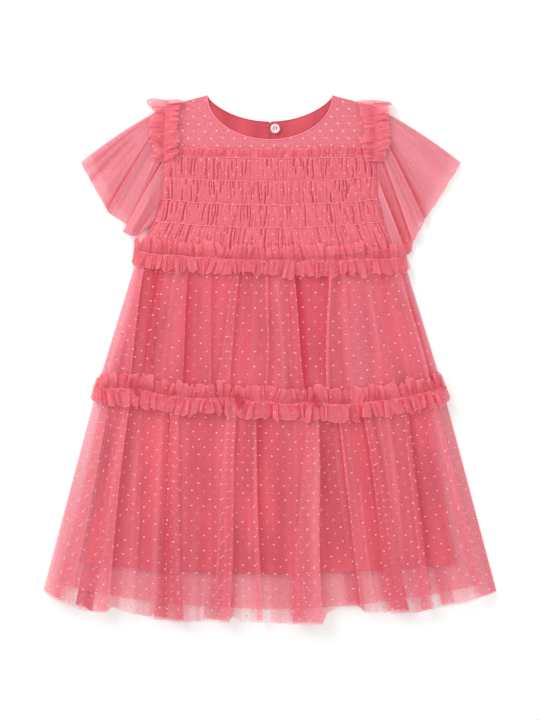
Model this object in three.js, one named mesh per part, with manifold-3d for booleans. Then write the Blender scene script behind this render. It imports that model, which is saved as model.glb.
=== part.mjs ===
// A toddler's party dress in dotted tulle, laid flat on its back with the front up.
// Millimetres. X runs across the dress, Y from the hem to the neck, and Z up from the surface it lies on.
// "down" is a distance below the neck points, towards the hem, and "half" is half a width.
import * as THREE from "three";
import { mergeVertices } from "three/addons/utils/BufferGeometryUtils.js";
import Module from "manifold-3d";

const LENGTH = 529; // neck point to the lowest hem
const WALL = 1; // thickness of every cloth wall
const SKIN = WALL / 2;
const GAP = 0.35; // clearance at seams and between layers

// Height of the middle of a layer, counted from the cloth that lies on the surface.
const level = (n) => SKIN + n * (WALL + GAP);
const BACK = level(0);
const BACK_OVER_RUFFLE = level(1);
const YOKE_LEVEL = level(1);
const SKIRT_EDGE = level(2); // where the skirt's front turns down to its back
const TIER_FRONT = level(6);
const SIDE_ROLL = 11; // the front panels turn down to the back within this distance of their sides

const NECK = { half: 63, frontDepth: 44.5, frontBow: 0.5, backDepth: 26, backBow: 0.75 };
const YOKE = { shoulderHalf: 106, shoulderDown: 11, end: 66, swell: 0.25 };

// Outline of the bodice from the shoulder to the waist. It lies a little narrower on the right.
const BODICE = [
  { down: 11, left: 106, right: 106 },
  { down: 60, left: 106, right: 106 },
  { down: 100, left: 107.5, right: 107.5 },
  { down: 122, left: 114, right: 113 },
  { down: 138, left: 123, right: 120.5 },
  { down: 163, left: 132, right: 131 },
];

// Rows of the shirred panel. Its ends are higher than its middle by "rise", and the cloth between the
// lines of gathering stitches swells by "puff".
const SHIRRING = [
  { down: 53, rise: 2, puff: 1.3 },
  { down: 63, rise: 2, puff: 0.2 },
  { down: 74.5, rise: 3.5, puff: 1.8 },
  { down: 86, rise: 5, puff: 0.2 },
  { down: 98.5, rise: 5.5, puff: 1.8 },
  { down: 111, rise: 6, puff: 0.2 },
  { down: 122, rise: 5.5, puff: 1.8 },
  { down: 133, rise: 5, puff: 0.2 },
  { down: 148, rise: 6.5, puff: 1.2 },
  { down: 162.65, rise: 8, puff: 0.3 },
];
const PUCKERS = 30;
const INSIDE_ROWS = [0, 2, 4, 5, 6, 7, 8, 9]; // rows of SHIRRING that the plain inside keeps
const INSIDE_PLACES = [-1, -0.96, -0.9, -0.5, 0, 0.5, 0.9, 0.96, 1];
const INSIDE = { heading: 2.95, waist: 7.5, climbs: 112, edge: 2.75 }; // heights of the plain inside

// Rows of the bodice's back below its neckline.
const SLIT_NOTCH = 1.2; // the corner at the top of the slit is turned back by this much
const BACK_ROWS = [
  { down: 60, rise: 0, z: BACK },
  { down: 100, rise: 0, z: BACK },
  { down: 124, rise: 2, z: BACK },
  { down: 133, rise: 8, z: BACK },
  { down: 144, rise: 8, z: BACK_OVER_RUFFLE },
  { down: 162.65, rise: 8, z: BACK_OVER_RUFFLE },
];

// The skirt's outline at its seams and its hem. A seam's ends are higher than its middle by "rise".
const SKIRT = [
  { down: 163, half: 131, rise: 8 },
  { down: 310, half: 172, rise: 23 },
  { down: LENGTH, half: 227, rise: 34 },
];
const WAIST = SKIRT[0].down;
const MIDDLE_SEAM = SKIRT[1].down;
const HEM = SKIRT[2].down;

// Inner tubes of the skirt: half widths, and how far down their hems lie.
const LINING = { waist: 119, middle: 152, hem: 186, down: 479, rise: 10 };
const UNDERSKIRT = { waist: 119, middle: 159, hem: 210, down: 514, rise: 24 };

// Pleats of the upper tier's front: where each crest leaves the waist and where it meets the next seam,
// its height, and how far it leans to the right.
const UPPER_PLEATS = [
  { top: -110, end: -147, height: 3.0, lean: -1.5 },
  { top: -97, end: -128, height: 4.0, lean: 2.0 },
  { top: -78, end: -99, height: 3.4, lean: -2.0 },
  { top: -66, end: -78, height: 2.2, lean: 1.0 },
  { top: -54, end: -55, height: 3.6, lean: 1.5 },
  { top: -27, end: -40, height: 4.6, lean: -2.5 },
  { top: -13, end: -23, height: 2.4, lean: 1.0 },
  { top: 0, end: -4, height: 4.2, lean: 1.8 },
  { top: 13, end: 18, height: 2.0, lean: 1.0 },
  { top: 24, end: 38, height: 4.0, lean: 2.2 },
  { top: 57, end: 57, height: 4.8, lean: -2.4 },
  { top: 70, end: 80, height: 2.6, lean: 1.2 },
  { top: 84, end: 101, height: 3.0, lean: -1.4 },
  { top: 97, end: 124, height: 3.2, lean: 1.6 },
  { top: 111, end: 148, height: 3.4, lean: 2.0 },
];

// Pleats of the lower tier's front, the same way. "drop" is how far the hem hangs below its arc there.
const LOWER_PLEATS = [
  { top: -150, end: -205, height: 3.4, lean: 1.5, drop: 0 },
  { top: -141, end: -188, height: 4.4, lean: -2.0, drop: 2 },
  { top: -131, end: -161, height: 5.6, lean: 3.0, drop: 0 },
  { top: -116, end: -139, height: 4.0, lean: -2.0, drop: -6 },
  { top: -101, end: -105, height: 5.2, lean: 2.6, drop: -3 },
  { top: -86, end: -93, height: 2.6, lean: -1.0, drop: -2 },
  { top: -69, end: -81, height: 4.6, lean: -2.2, drop: -2 },
  { top: -51, end: -57, height: 3.4, lean: 1.6, drop: -3 },
  { top: -33, end: -39, height: 6.0, lean: 3.4, drop: -4 },
  { top: -20, end: -6, height: 4.6, lean: 2.4, drop: -5 },
  { top: 7, end: 8, height: 3.0, lean: -1.2, drop: -5 },
  { top: 24, end: 20, height: 4.2, lean: -2.2, drop: -4 },
  { top: 46, end: 53, height: 5.8, lean: 3.2, drop: -1 },
  { top: 58, end: 71, height: 2.6, lean: 1.0, drop: -12 },
  { top: 71, end: 90, height: 5.6, lean: -3.0, drop: -8 },
  { top: 88, end: 121, height: 4.8, lean: 2.4, drop: -3 },
  { top: 104, end: 143, height: 3.6, lean: 1.6, drop: 2 },
  { top: 126, end: 162, height: 5.6, lean: 3.0, drop: 3 },
  { top: 138, end: 184, height: 3.8, lean: -1.8, drop: 4 },
  { top: 150, end: 206, height: 3.4, lean: 1.6, drop: 3 },
];

// Rows of a tier's front from its seam to its lower edge: the share of the pleats' height and of the
// hem's drop that is reached there.
const UPPER_ROWS = [
  { at: 0, height: 0.2, drop: 0 },
  { at: 0.13, height: 0.35, drop: 0 },
  { at: 0.5, height: 1, drop: 0 },
  { at: 0.87, height: 0.35, drop: 0 },
  { at: 1, height: 0.2, drop: 0 },
];
const LOWER_ROWS = [
  { at: 0, height: 0.2, drop: 0 },
  { at: 0.085, height: 0.32, drop: 0 },
  { at: 0.3, height: 0.85, drop: 0 },
  { at: 0.65, height: 1, drop: 0.3 },
  { at: 1, height: 1.1, drop: 1 },
];

// Strips gathered along their middle: depth of each frill, number of waves, height of the stitched line
// and of the frills, and how far the waves swing.
const WAIST_RUFFLE = {
  down: WAIST,
  half: 138,
  frill: 16.5,
  waves: 25,
  stitched: 11.2,
  raised: 13.2,
  swing: 1.5,
};
const MIDDLE_RUFFLE = {
  down: MIDDLE_SEAM,
  half: 178,
  frill: 16,
  waves: 30,
  stitched: 11.2,
  raised: 14,
  swing: 2,
};
const SHOULDER_RUFFLE = { frill: 13, waves: 9, stitched: 5.9, raised: 8.6, swing: 1.6 };
const STITCHED_SHARE = 0.12; // share of a frill's depth that the stitching holds down
const FRILL_UNEVEN = 0.14; // by how much the waves differ in depth
const FRILL_SPLAY = 1.6; // how far a wave's edge moves sideways along the strip
// A skirt ruffle's ends at the side folds: their height, the share of the waves and of the depth that is
// left there, and the distance over which both grow to the whole.
const RUFFLE_END = { z: 2.6, wave: 0.3, depth: 0.45, grows: 25 };
const BACK_RUFFLE_SCALLOP = 1.3; // depth of the notches in a back ruffle's edge, at the least
const BACK_RUFFLE_CLEAR = 2.5; // from a back ruffle's edge to where the tier over it starts to sink
const BACK_RUFFLE_SINK = 12; // the distance in which that tier sinks to the surface

// Middle line of a shoulder ruffle, from its lower end to past the shoulder fold, where it bends down.
const SHOULDER_LINE = [
  { down: 3.5, x: 104, bend: -2 },
  { down: 9, x: 104.5, bend: 0 },
  { down: 40, x: 104.5, bend: 0 },
  { down: 66, x: 105, bend: 0 },
];

// Lines down each sleeve's front, from the shoulder fold to the underarm: where a line leaves the armhole,
// where it meets the hem, and how high it is raised there.
const SLEEVE_LINES = {
  left: [
    { start: 12, x: 190, down: 67, fold: 0 },
    { start: 24, x: 181, down: 83, fold: 1.6 },
    { start: 36, x: 173, down: 97, fold: 0.2 },
    { start: 46, x: 166, down: 109, fold: 1.2 },
    { start: 54, x: 162, down: 117, fold: 3.4 },
    { start: 64, x: 153, down: 123, fold: 0.4 },
    { start: 76, x: 145, down: 128, fold: 1.0 },
    { start: 88, x: 146, down: 134, fold: 4.0 },
    { start: 104, x: 139, down: 138.5, fold: 0.6 },
    { start: 120, x: 133, down: 139, fold: 2.0 },
    { start: 130, x: 127, down: 137, fold: 0 },
  ],
  right: [
    { start: 12, x: 191, down: 67, fold: 0 },
    { start: 22, x: 184, down: 79, fold: 0.8 },
    { start: 36, x: 176, down: 92, fold: 0.2 },
    { start: 50, x: 165, down: 110, fold: 1.0 },
    { start: 60, x: 155, down: 124, fold: 4.2 },
    { start: 72, x: 151, down: 129, fold: 0.6 },
    { start: 88, x: 147, down: 135, fold: 3.4 },
    { start: 104, x: 143, down: 139, fold: 0.6 },
    { start: 118, x: 135, down: 139.5, fold: 2.2 },
    { start: 131, x: 127, down: 138, fold: 0 },
  ],
};
const ARMHOLE_GAP = 0.9; // from the bodice's edge to the sleeves
const SLEEVE_CROWN = 3; // the shoulder fold bows up by this much
const SLEEVE_TURN = 1; // how far a fold stands out past the lines beside it
// The two layers of a sleeve, outside and inside: their backs and fronts, and how far they reach.
const SLEEVE_OUTER = { back: level(0), front: level(3), reach: 1, trim: 0, fold: 1, rows: 5 };
const SLEEVE_INNER = { back: level(1), front: level(2), reach: 0.88, trim: 0.55, fold: 0, rows: 3 };

// The button's rim stands round a well with four holes, each "spread" from the middle both ways.
const BUTTON = { x: 5.2, down: 33.1, z: WALL + GAP, radius: 4.8, height: 2.2 };
const WELL = { radius: 2.9, depth: 0.7, hole: 0.55, spread: 1.2 };
const LOOP = { radius: 0.45, reach: 5.7, end: -2.4, gape: 1.6, z: 1.85 };

const CORAL = 0xe4596c;
const SHEER_CORAL = 0xf07f92;
const PEARL = 0xf6d3da;

const clamp = THREE.MathUtils.clamp;
const lerp = THREE.MathUtils.lerp;
const yAt = (down) => LENGTH / 2 - down;
const uneven = (k) => Math.abs(Math.sin(k * 12.9898 + 4.1)); // from 0 to 1, the same on each run
const ease = (t) => Math.sin((clamp(t, 0, 1) * Math.PI) / 2);
const shares = (n) => Array.from({ length: n + 1 }, (_, i) => i / n);

// Two rows of a table mixed, number by number.
function mixRows(a, b, share) {
  const row = {};
  for (const key of Object.keys(a)) row[key] = lerp(a[key], b[key], share);
  return row;
}

// The row of a table at a distance down the dress.
function rowAt(table, down) {
  let i = 0;
  while (i < table.length - 2 && table[i + 1].down < down) i += 1;
  const [a, b] = [table[i], table[i + 1]];
  return mixRows(a, b, clamp((down - a.down) / (b.down - a.down), 0, 1));
}

// A closed solid from a list of points and a list of faces.
function solid(points, faces) {
  const geometry = new THREE.BufferGeometry();
  const numbers = points.flatMap((p) => [p.x, p.y, p.z]);
  geometry.setAttribute("position", new THREE.Float32BufferAttribute(numbers, 3));
  geometry.setIndex(faces.flat());
  geometry.computeVertexNormals();
  return geometry;
}

// A wall round a grid of middle points. Rows run down the cloth and columns to the right, seen from
// outside. In a ring the last column is joined to the first.
function clothWall(grid, ring = false) {
  const [rows, columns] = [grid.length, grid[0].length];
  const beside = (i) => (ring ? (i + columns) % columns : clamp(i, 0, columns - 1));
  const side = (way) =>
    grid.flatMap((row, j) =>
      row.map((p, i) => {
        const along = row[beside(i + 1)].clone().sub(row[beside(i - 1)]);
        const downward = grid[Math.min(j + 1, rows - 1)][i].clone().sub(grid[Math.max(j - 1, 0)][i]);
        return p.clone().addScaledVector(downward.cross(along).normalize(), way * SKIN);
      }),
    );
  const top = (j, i) => j * columns + (i % columns);
  const under = (j, i) => rows * columns + top(j, i);
  const faces = [];
  const quad = (a, b, c, d) => faces.push([a, b, c], [a, c, d]);
  const last = ring ? columns : columns - 1;
  for (let j = 0; j < rows - 1; j += 1)
    for (let i = 0; i < last; i += 1) {
      quad(top(j, i), top(j + 1, i), top(j + 1, i + 1), top(j, i + 1));
      quad(under(j, i), under(j, i + 1), under(j + 1, i + 1), under(j + 1, i));
    }
  for (let i = 0; i < last; i += 1) {
    quad(top(0, i), top(0, i + 1), under(0, i + 1), under(0, i));
    quad(top(rows - 1, i), under(rows - 1, i), under(rows - 1, i + 1), top(rows - 1, i + 1));
  }
  if (!ring)
    for (let j = 0; j < rows - 1; j += 1) {
      quad(top(j, 0), under(j, 0), under(j + 1, 0), top(j + 1, 0));
      quad(top(j, last), top(j + 1, last), under(j + 1, last), under(j, last));
    }
  return solid([...side(1), ...side(-1)], faces);
}

// A wall with a fine outer grid over a coarse, plain inner one. Each grid comes with the places of its
// columns across and its rows down, and the rims join the two grids' edges in the order of those places.
function reliefWall(outer, inner) {
  const corner = (side, offset) => (j, i) => offset + j * side.grid[0].length + i;
  const out = corner(outer, 0);
  const inn = corner(inner, outer.grid.length * outer.grid[0].length);
  const faces = [];
  const cover = ({ grid }, at, flip) => {
    for (let j = 0; j < grid.length - 1; j += 1)
      for (let i = 0; i < grid[0].length - 1; i += 1) {
        const lower = [at(j, i), at(j + 1, i), at(j + 1, i + 1)];
        const upper = [at(j, i), at(j + 1, i + 1), at(j, i + 1)];
        for (const face of [lower, upper]) faces.push(flip ? face.reverse() : face);
      }
  };
  const rim = (a, b, placesA, placesB, flip) => {
    let [p, q] = [0, 0];
    while (p < a.length - 1 || q < b.length - 1) {
      const stepA = q === b.length - 1 || (p < a.length - 1 && placesA[p + 1] <= placesB[q + 1]);
      const face = stepA ? [a[p], a[p + 1], b[q]] : [a[p], b[q + 1], b[q]];
      faces.push(flip ? face.reverse() : face);
      if (stepA) p += 1;
      else q += 1;
    }
  };
  const acrossEdge = ({ grid }, at, end) => grid[0].map((_, i) => at(end ? grid.length - 1 : 0, i));
  const downEdge = ({ grid }, at, end) => grid.map((_, j) => at(j, end ? grid[0].length - 1 : 0));
  cover(outer, out, false);
  cover(inner, inn, true);
  for (const end of [false, true]) {
    rim(acrossEdge(outer, out, end), acrossEdge(inner, inn, end), outer.across, inner.across, end);
    rim(downEdge(outer, out, end), downEdge(inner, inn, end), outer.down, inner.down, !end);
  }
  return solid([...outer.grid.flat(), ...inner.grid.flat()], faces);
}

// A flat piece with the outline given, one wall thick, with its middle at the height given.
function flatPiece(outline, middle) {
  const shape = new THREE.Shape(outline);
  const geometry = new THREE.ExtrudeGeometry(shape, { depth: WALL, bevelEnabled: false });
  return geometry.translate(0, 0, middle - SKIN);
}

// Height of a front panel's middle, which turns down from its plateau to its side edge.
const rolled = (inFromSide, plateau, edge) => lerp(edge, plateau, ease(inFromSide / SIDE_ROLL));

// A neckline between the neck points, as a bow of the depth given.
const neckDown = (x, depth, bow) => depth * Math.max(0, 1 - (x / NECK.half) ** 2) ** bow;

// The plain yoke. Its upper edge runs along the shoulders and the neckline, its lower under the heading.
function yoke() {
  const shoulder = [0, 1 / 3, 2 / 3].map((t) => ({
    x: lerp(YOKE.shoulderHalf, NECK.half, t),
    down: lerp(YOKE.shoulderDown, 0, t),
  }));
  const neckline = shares(22).map((t) => {
    const x = -NECK.half * Math.cos(t * Math.PI);
    return { x, down: neckDown(x, NECK.frontDepth, NECK.frontBow) };
  });
  const upper = [...shoulder.map((p) => ({ x: -p.x, down: p.down })), ...neckline, ...shoulder.reverse()];
  const grid = [0, 0.22, 0.6, 1].map((v) =>
    upper.map((p, i) => {
      const spread = YOKE.shoulderHalf * ((2 * i) / (upper.length - 1) - 1);
      const z = YOKE_LEVEL + YOKE.swell * Math.sin(Math.PI * v);
      return new THREE.Vector3(lerp(p.x, spread, v), yAt(lerp(p.down, YOKE.end, v)), z);
    }),
  );
  return clothWall(grid);
}

// The gathered front, raised between its lines of stitches over a plain inside.
function shirredPanel() {
  const places = [{ u: -1, swell: 0 }];
  for (let k = 0; k < PUCKERS; k += 1) {
    const bend = 0.16 * (uneven(k + 11) - 0.5);
    const at = (share) => -1 + (2 * (k + share + bend)) / PUCKERS;
    places.push({ u: at(0.14), swell: 0.05 }, { u: at(0.42), swell: 1 });
    places.push({ u: at(0.74), swell: 0.7 + 0.3 * uneven(k) });
  }
  places.push({ u: 1, swell: 0 });
  const climb = (down) => clamp((down - INSIDE.climbs) / (WAIST - INSIDE.climbs), 0, 1);
  const point = (u, row, lift) => {
    const outline = rowAt(BODICE, row.down - row.rise);
    const half = u < 0 ? outline.left : outline.right;
    const plateau = lerp(INSIDE.heading, INSIDE.waist, climb(row.down));
    const edge = lerp(INSIDE.heading, INSIDE.edge, climb(row.down));
    const z = rolled(half * (1 - Math.abs(u)), plateau, edge) + lift;
    return new THREE.Vector3(u * half, yAt(row.down) + row.rise * u * u, z);
  };
  const innerRows = INSIDE_ROWS.map((j) => SHIRRING[j]);
  const outer = SHIRRING.map((row) => places.map(({ u, swell }) => point(u, row, WALL + row.puff * swell)));
  const inner = innerRows.map((row) => INSIDE_PLACES.map((u) => point(u, row, 0)));
  const downs = (rows) => rows.map((row) => row.down);
  return reliefWall(
    { grid: outer, across: places.map((p) => p.u), down: downs(SHIRRING) },
    { grid: inner, across: INSIDE_PLACES, down: downs(innerRows) },
  );
}

// Half of the bodice's back on one side of the slit, from the neckline to the waist. It rises over the
// flattened waist ruffle.
function backBodice(side) {
  const name = side < 0 ? "left" : "right";
  const near = GAP / 2;
  const neck = shares(9).map((t) => {
    const x = lerp(near + SLIT_NOTCH, NECK.half, t);
    return { x, down: neckDown(x, NECK.backDepth, NECK.backBow) };
  });
  const shoulder = [1 / 3, 2 / 3, 1].map((t) => ({
    x: lerp(NECK.half, YOKE.shoulderHalf, t),
    down: lerp(0, YOKE.shoulderDown, t),
  }));
  const upper = [...neck, ...shoulder];
  const below = BACK_ROWS.map(({ down, rise, z }) => {
    const half = rowAt(BODICE, down - rise)[name];
    return upper.map((_, i) => {
      const u = i / (upper.length - 1);
      return new THREE.Vector3(side * lerp(near, half, u), yAt(down) + rise * u * u, z);
    });
  });
  const grid = [upper.map(({ x, down }) => new THREE.Vector3(side * x, yAt(down), BACK)), ...below];
  return clothWall(side < 0 ? grid.map((row) => row.reverse()) : grid);
}

// Columns of a pleated front: the turned sides, and four columns from each crest to the next.
function pleatColumns(pleats, topHalf, endHalf) {
  const inward = [0, 2.5, 6, SIDE_ROLL];
  const flat = { height: 0, lean: 0, drop: 0 };
  const edge = (side) => (d) => ({ top: side * (topHalf - d), end: side * (endHalf - d), ...flat });
  const columns = inward.map(edge(-1));
  pleats.forEach((pleat, k) => {
    columns.push({ ...flat, ...pleat });
    const next = pleats[k + 1];
    if (!next) return;
    for (const [share, kept] of [[0.25, 0.7], [0.5, 0], [0.75, 0.7]]) {
      const row = mixRows({ ...flat, ...pleat }, { ...flat, ...next }, share);
      columns.push({ ...row, height: row.height * kept, lean: row.lean * kept });
    }
  });
  return [...columns, ...inward.reverse().map(edge(1))];
}

// The front of a tier, pleated from its seam to its lower edge.
function tierFront(pleats, rows, from, to) {
  const columns = pleatColumns(pleats, rowAt(SKIRT, from).half, rowAt(SKIRT, to).half);
  const grid = rows.map(({ at, height, drop }) => {
    const down = lerp(from, to, at);
    const { half, rise } = rowAt(SKIRT, down);
    return columns.map((column) => {
      const x = lerp(column.top, column.end, at);
      const y = yAt(down + column.drop * drop) + rise * (x / half) ** 2;
      const z = rolled(half - Math.abs(x), TIER_FRONT, SKIRT_EDGE) + column.height * height;
      return new THREE.Vector3(x + column.lean * height, y, z);
    });
  });
  return clothWall(grid);
}

// The back of a tier, which rests flat and rises over the flattened ruffles beneath it.
function tierBack(rows) {
  const across = shares(12).map((t) => 2 * t - 1);
  const grid = rows.map(({ down, over }) => {
    const { half, rise } = rowAt(SKIRT, down);
    const z = over ? BACK_OVER_RUFFLE : BACK;
    return across.map((u) => new THREE.Vector3(u * half, yAt(down) + rise * u * u, z));
  });
  return clothWall(grid);
}

// Where the back of a tier starts to leave a flattened ruffle, above it or below it, and where it ends.
function leavesRuffle({ down, frill }, way) {
  const start = down + way * (frill + BACK_RUFFLE_CLEAR);
  return [
    { down: start, over: true },
    { down: start + way * BACK_RUFFLE_SINK, over: false },
  ];
}

// The front or the back of an inner tube of the skirt, flat at its own layer.
function innerPanel(tube, layer) {
  const arc = (half, down, rise, way) =>
    shares(12).map((t) => {
      const u = way * (2 * t - 1);
      return new THREE.Vector2(u * half, yAt(down) + rise * u * u);
    });
  const side = (way) => new THREE.Vector2(way * tube.middle, yAt(MIDDLE_SEAM - SKIRT[1].rise));
  const waistRise = SKIRT[0].rise * (tube.waist / SKIRT[0].half) ** 2;
  const top = arc(tube.waist, WAIST + 2 * GAP, waistRise, 1);
  const hem = arc(tube.hem, tube.down, tube.rise, -1);
  return flatPiece([...top, side(1), ...hem, side(-1)], level(layer));
}

// Four places in each wave of a gathered strip, two on its crest and two in its valley, and its ends.
function waveColumns(waves) {
  const columns = [{ t: 0, swing: 0, wave: 0 }];
  for (let k = 0; k < waves; k += 1) {
    const size = 0.65 + 0.35 * uneven(k);
    const skew = 0.06 * (uneven(k + 7) - 0.5);
    for (const [place, way] of [[0.14, 1], [0.38, 1], [0.62, -1], [0.88, -1]])
      columns.push({ t: (k + place + skew) / waves, swing: way * size, wave: k });
  }
  return [...columns, { t: 1, swing: 0, wave: waves }];
}

const FRILL_ROWS = [-1, -STITCHED_SHARE, STITCHED_SHARE, 1];
const frillDepth = (frill, w, wave) => frill * w * (1 + FRILL_UNEVEN * (uneven(wave + 3) - 0.5));

// A strip gathered along its middle, over the skirt's front, with its ends turned down at the sides.
function frontRuffle({ down, half, frill, waves, stitched, raised, swing }) {
  const { rise } = rowAt(SKIRT, down);
  const grid = FRILL_ROWS.map((w) =>
    waveColumns(waves).map((column) => {
      const u = 2 * column.t - 1;
      const inFromSide = half * (1 - Math.abs(u));
      const grown = ease(inFromSide / RUFFLE_END.grows);
      const wave = column.swing * Math.abs(w) * lerp(RUFFLE_END.wave, 1, grown);
      const depth = frillDepth(frill, w, column.wave) * lerp(RUFFLE_END.depth, 1, grown);
      const plateau = lerp(stitched, raised, Math.abs(w)) + swing * wave;
      const x = u * half + FRILL_SPLAY * wave * w;
      return new THREE.Vector3(x, yAt(down + depth) + rise * u * u, rolled(inFromSide, plateau, RUFFLE_END.z));
    }),
  );
  return clothWall(grid);
}

// The same strip on the back, pressed flat under the dress, with a wavy edge.
function backRuffle({ down, half, frill, waves }) {
  const { rise } = rowAt(SKIRT, down);
  const edge = (way) =>
    shares(waves * 2).map((t, k) => {
      const u = way * (1 - 2 * t);
      const depth = frill - (k % 2) * BACK_RUFFLE_SCALLOP * (1 + uneven(k));
      return new THREE.Vector2(u * half, yAt(down) + way * depth + rise * u * u);
    });
  return flatPiece([...edge(1), ...edge(-1)], BACK);
}

// The strip on an armhole seam, from the front of the armhole to past the shoulder fold.
function shoulderRuffle(side) {
  const { frill, waves, stitched, raised, swing } = SHOULDER_RUFFLE;
  const low = SHOULDER_LINE[SHOULDER_LINE.length - 1].down;
  const high = SHOULDER_LINE[0].down;
  const grid = FRILL_ROWS.map((row) => {
    const w = side * row;
    return waveColumns(waves).map((column) => {
      const down = lerp(low, high, column.t);
      const { x, bend } = rowAt(SHOULDER_LINE, down);
      const wave = column.swing * Math.abs(w);
      const depth = frillDepth(frill, w, column.wave);
      const z = lerp(stitched, raised, Math.abs(w)) + bend + swing * wave;
      return new THREE.Vector3(side * (x + depth), yAt(down - FRILL_SPLAY * wave), z);
    });
  });
  return clothWall(grid);
}

// A sleeve's layer as a flattened tube: lines down its front, a fold, lines down its back, and a fold.
function sleeveTube(name, { back, front, reach, trim, fold, rows }) {
  const side = name === "left" ? -1 : 1;
  const table = SLEEVE_LINES[name];
  const last = table.length - 1;
  const ends = { 0: mixRows(table[0], table[1], trim), [last]: mixRows(table[last], table[last - 1], trim) };
  const lines = table.map((line, k) => ends[k] ?? line);
  const between = (line, k) => (fold && k < last ? [line, mixRows(line, lines[k + 1], 0.5)] : [line]);
  const frontLines = lines.flatMap(between);
  const place = (line, k, v, z) => {
    const near = rowAt(BODICE, line.start)[name] + ARMHOLE_GAP;
    const crown = SLEEVE_CROWN * 4 * v * (1 - v) * (1 - k / last);
    const down = lerp(line.start, line.down, v * reach) - crown;
    return new THREE.Vector3(side * lerp(near, line.x, v * reach), yAt(down), z);
  };
  const turn = (edge, inside) => {
    const outward = edge.clone().sub(inside).setZ(0).setLength(SLEEVE_TURN);
    return edge.clone().add(outward).setZ((back + front) / 2);
  };
  const grid = shares(rows).map((v) => {
    const perLine = last / (frontLines.length - 1);
    const over = frontLines.map((line, n) => place(line, n * perLine, v, front + line.fold * fold * v));
    const below = lines.map((line, k) => place(line, k, v, back)).filter((_, k) => k % 2 === 0 || k === last);
    const shoulder = turn(below[0], below[1]);
    const underarm = turn(below[below.length - 1], below[below.length - 2]);
    const ring = [...over, underarm, ...below.reverse(), shoulder];
    return side < 0 ? ring : ring.reverse();
  });
  return clothWall(grid, true);
}

// A round button with a raised rim and four holes, as a closed solid cut by four pins.
async function button() {
  const wasm = await Module();
  wasm.setup();
  const bodyOf = (geometry) => {
    geometry.deleteAttribute("normal");
    geometry.deleteAttribute("uv");
    const merged = mergeVertices(geometry, 1e-4);
    const vertProperties = new Float32Array(merged.attributes.position.array);
    const triVerts = new Uint32Array(merged.index.array);
    return new wasm.Manifold(new wasm.Mesh({ numProp: 3, vertProperties, triVerts }));
  };
  const { radius, height } = BUTTON;
  const profile = [
    [0, 0],
    [radius - 0.6, 0],
    [radius, 0.6],
    [radius, height - 0.7],
    [radius - 0.6, height],
    [WELL.radius + 0.6, height],
    [WELL.radius, height - WELL.depth],
    [0, height - WELL.depth],
  ].map(([x, y]) => new THREE.Vector2(x, y));
  let body = bodyOf(new THREE.LatheGeometry(profile, 28));
  for (const [sx, sy] of [[1, 1], [-1, 1], [-1, -1], [1, -1]]) {
    const pin = new THREE.CylinderGeometry(WELL.hole, WELL.hole, 3 * height, 8);
    body = body.subtract(bodyOf(pin.translate(sx * WELL.spread, 0, sy * WELL.spread)));
  }
  const { vertProperties, triVerts } = body.getMesh();
  const geometry = new THREE.BufferGeometry();
  geometry.setAttribute("position", new THREE.BufferAttribute(new Float32Array(vertProperties), 3));
  geometry.setIndex(new THREE.BufferAttribute(new Uint32Array(triVerts), 1));
  geometry.computeVertexNormals();
  return geometry.rotateX(Math.PI / 2).translate(BUTTON.x, yAt(BUTTON.down), BUTTON.z);
}

// The thread loop, from the left of the slit round the button and back.
function buttonLoop() {
  const [x, y] = [BUTTON.x, yAt(BUTTON.down)];
  const bow = shares(8).map((t) => {
    const angle = lerp(140, -140, t) * THREE.MathUtils.DEG2RAD;
    return new THREE.Vector3(x + LOOP.reach * Math.cos(angle), y + LOOP.reach * Math.sin(angle), LOOP.z);
  });
  const end = (way) => new THREE.Vector3(LOOP.end, y + way * LOOP.gape, LOOP.z);
  const path = new THREE.CatmullRomCurve3([end(1), ...bow, end(-1)]);
  const section = new THREE.Shape().absarc(0, 0, LOOP.radius, 0, 2 * Math.PI);
  return new THREE.ExtrudeGeometry(section, { steps: 30, extrudePath: path, curveSegments: 3 });
}

const dress = new THREE.Group();
function add(name, geometry, color, roughness = 0.85) {
  const mesh = new THREE.Mesh(geometry, new THREE.MeshStandardMaterial({ color, roughness, metalness: 0 }));
  mesh.name = name;
  dress.add(mesh);
}

add("back_bodice_left", backBodice(-1), CORAL, 0.7);
add("back_bodice_right", backBodice(1), CORAL, 0.7);
add("front_yoke", yoke(), CORAL);
add("shirred_panel", shirredPanel(), CORAL);
for (const name of ["left", "right"]) {
  add(`sleeve_${name}`, sleeveTube(name, SLEEVE_OUTER), SHEER_CORAL);
  add(`sleeve_${name}_inner`, sleeveTube(name, SLEEVE_INNER), SHEER_CORAL);
  add(`shoulder_ruffle_${name}`, shoulderRuffle(name === "left" ? -1 : 1), SHEER_CORAL);
}

add("upper_tier_front", tierFront(UPPER_PLEATS, UPPER_ROWS, WAIST, MIDDLE_SEAM - GAP), SHEER_CORAL);
add("lower_tier_front", tierFront(LOWER_PLEATS, LOWER_ROWS, MIDDLE_SEAM, HEM), SHEER_CORAL);
const upperBackRows = [
  { down: WAIST, over: true },
  ...leavesRuffle(WAIST_RUFFLE, 1),
  ...leavesRuffle(MIDDLE_RUFFLE, -1).reverse(),
  { down: MIDDLE_SEAM - GAP, over: true },
];
const lowerBackRows = [
  { down: MIDDLE_SEAM, over: true },
  ...leavesRuffle(MIDDLE_RUFFLE, 1),
  { down: HEM, over: false },
];
add("upper_tier_back", tierBack(upperBackRows), SHEER_CORAL);
add("lower_tier_back", tierBack(lowerBackRows), SHEER_CORAL);
add("underskirt_back", innerPanel(UNDERSKIRT, 2), SHEER_CORAL);
add("lining_back", innerPanel(LINING, 3), CORAL, 0.7);
add("lining_front", innerPanel(LINING, 4), CORAL, 0.7);
add("underskirt_front", innerPanel(UNDERSKIRT, 5), SHEER_CORAL);

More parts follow.
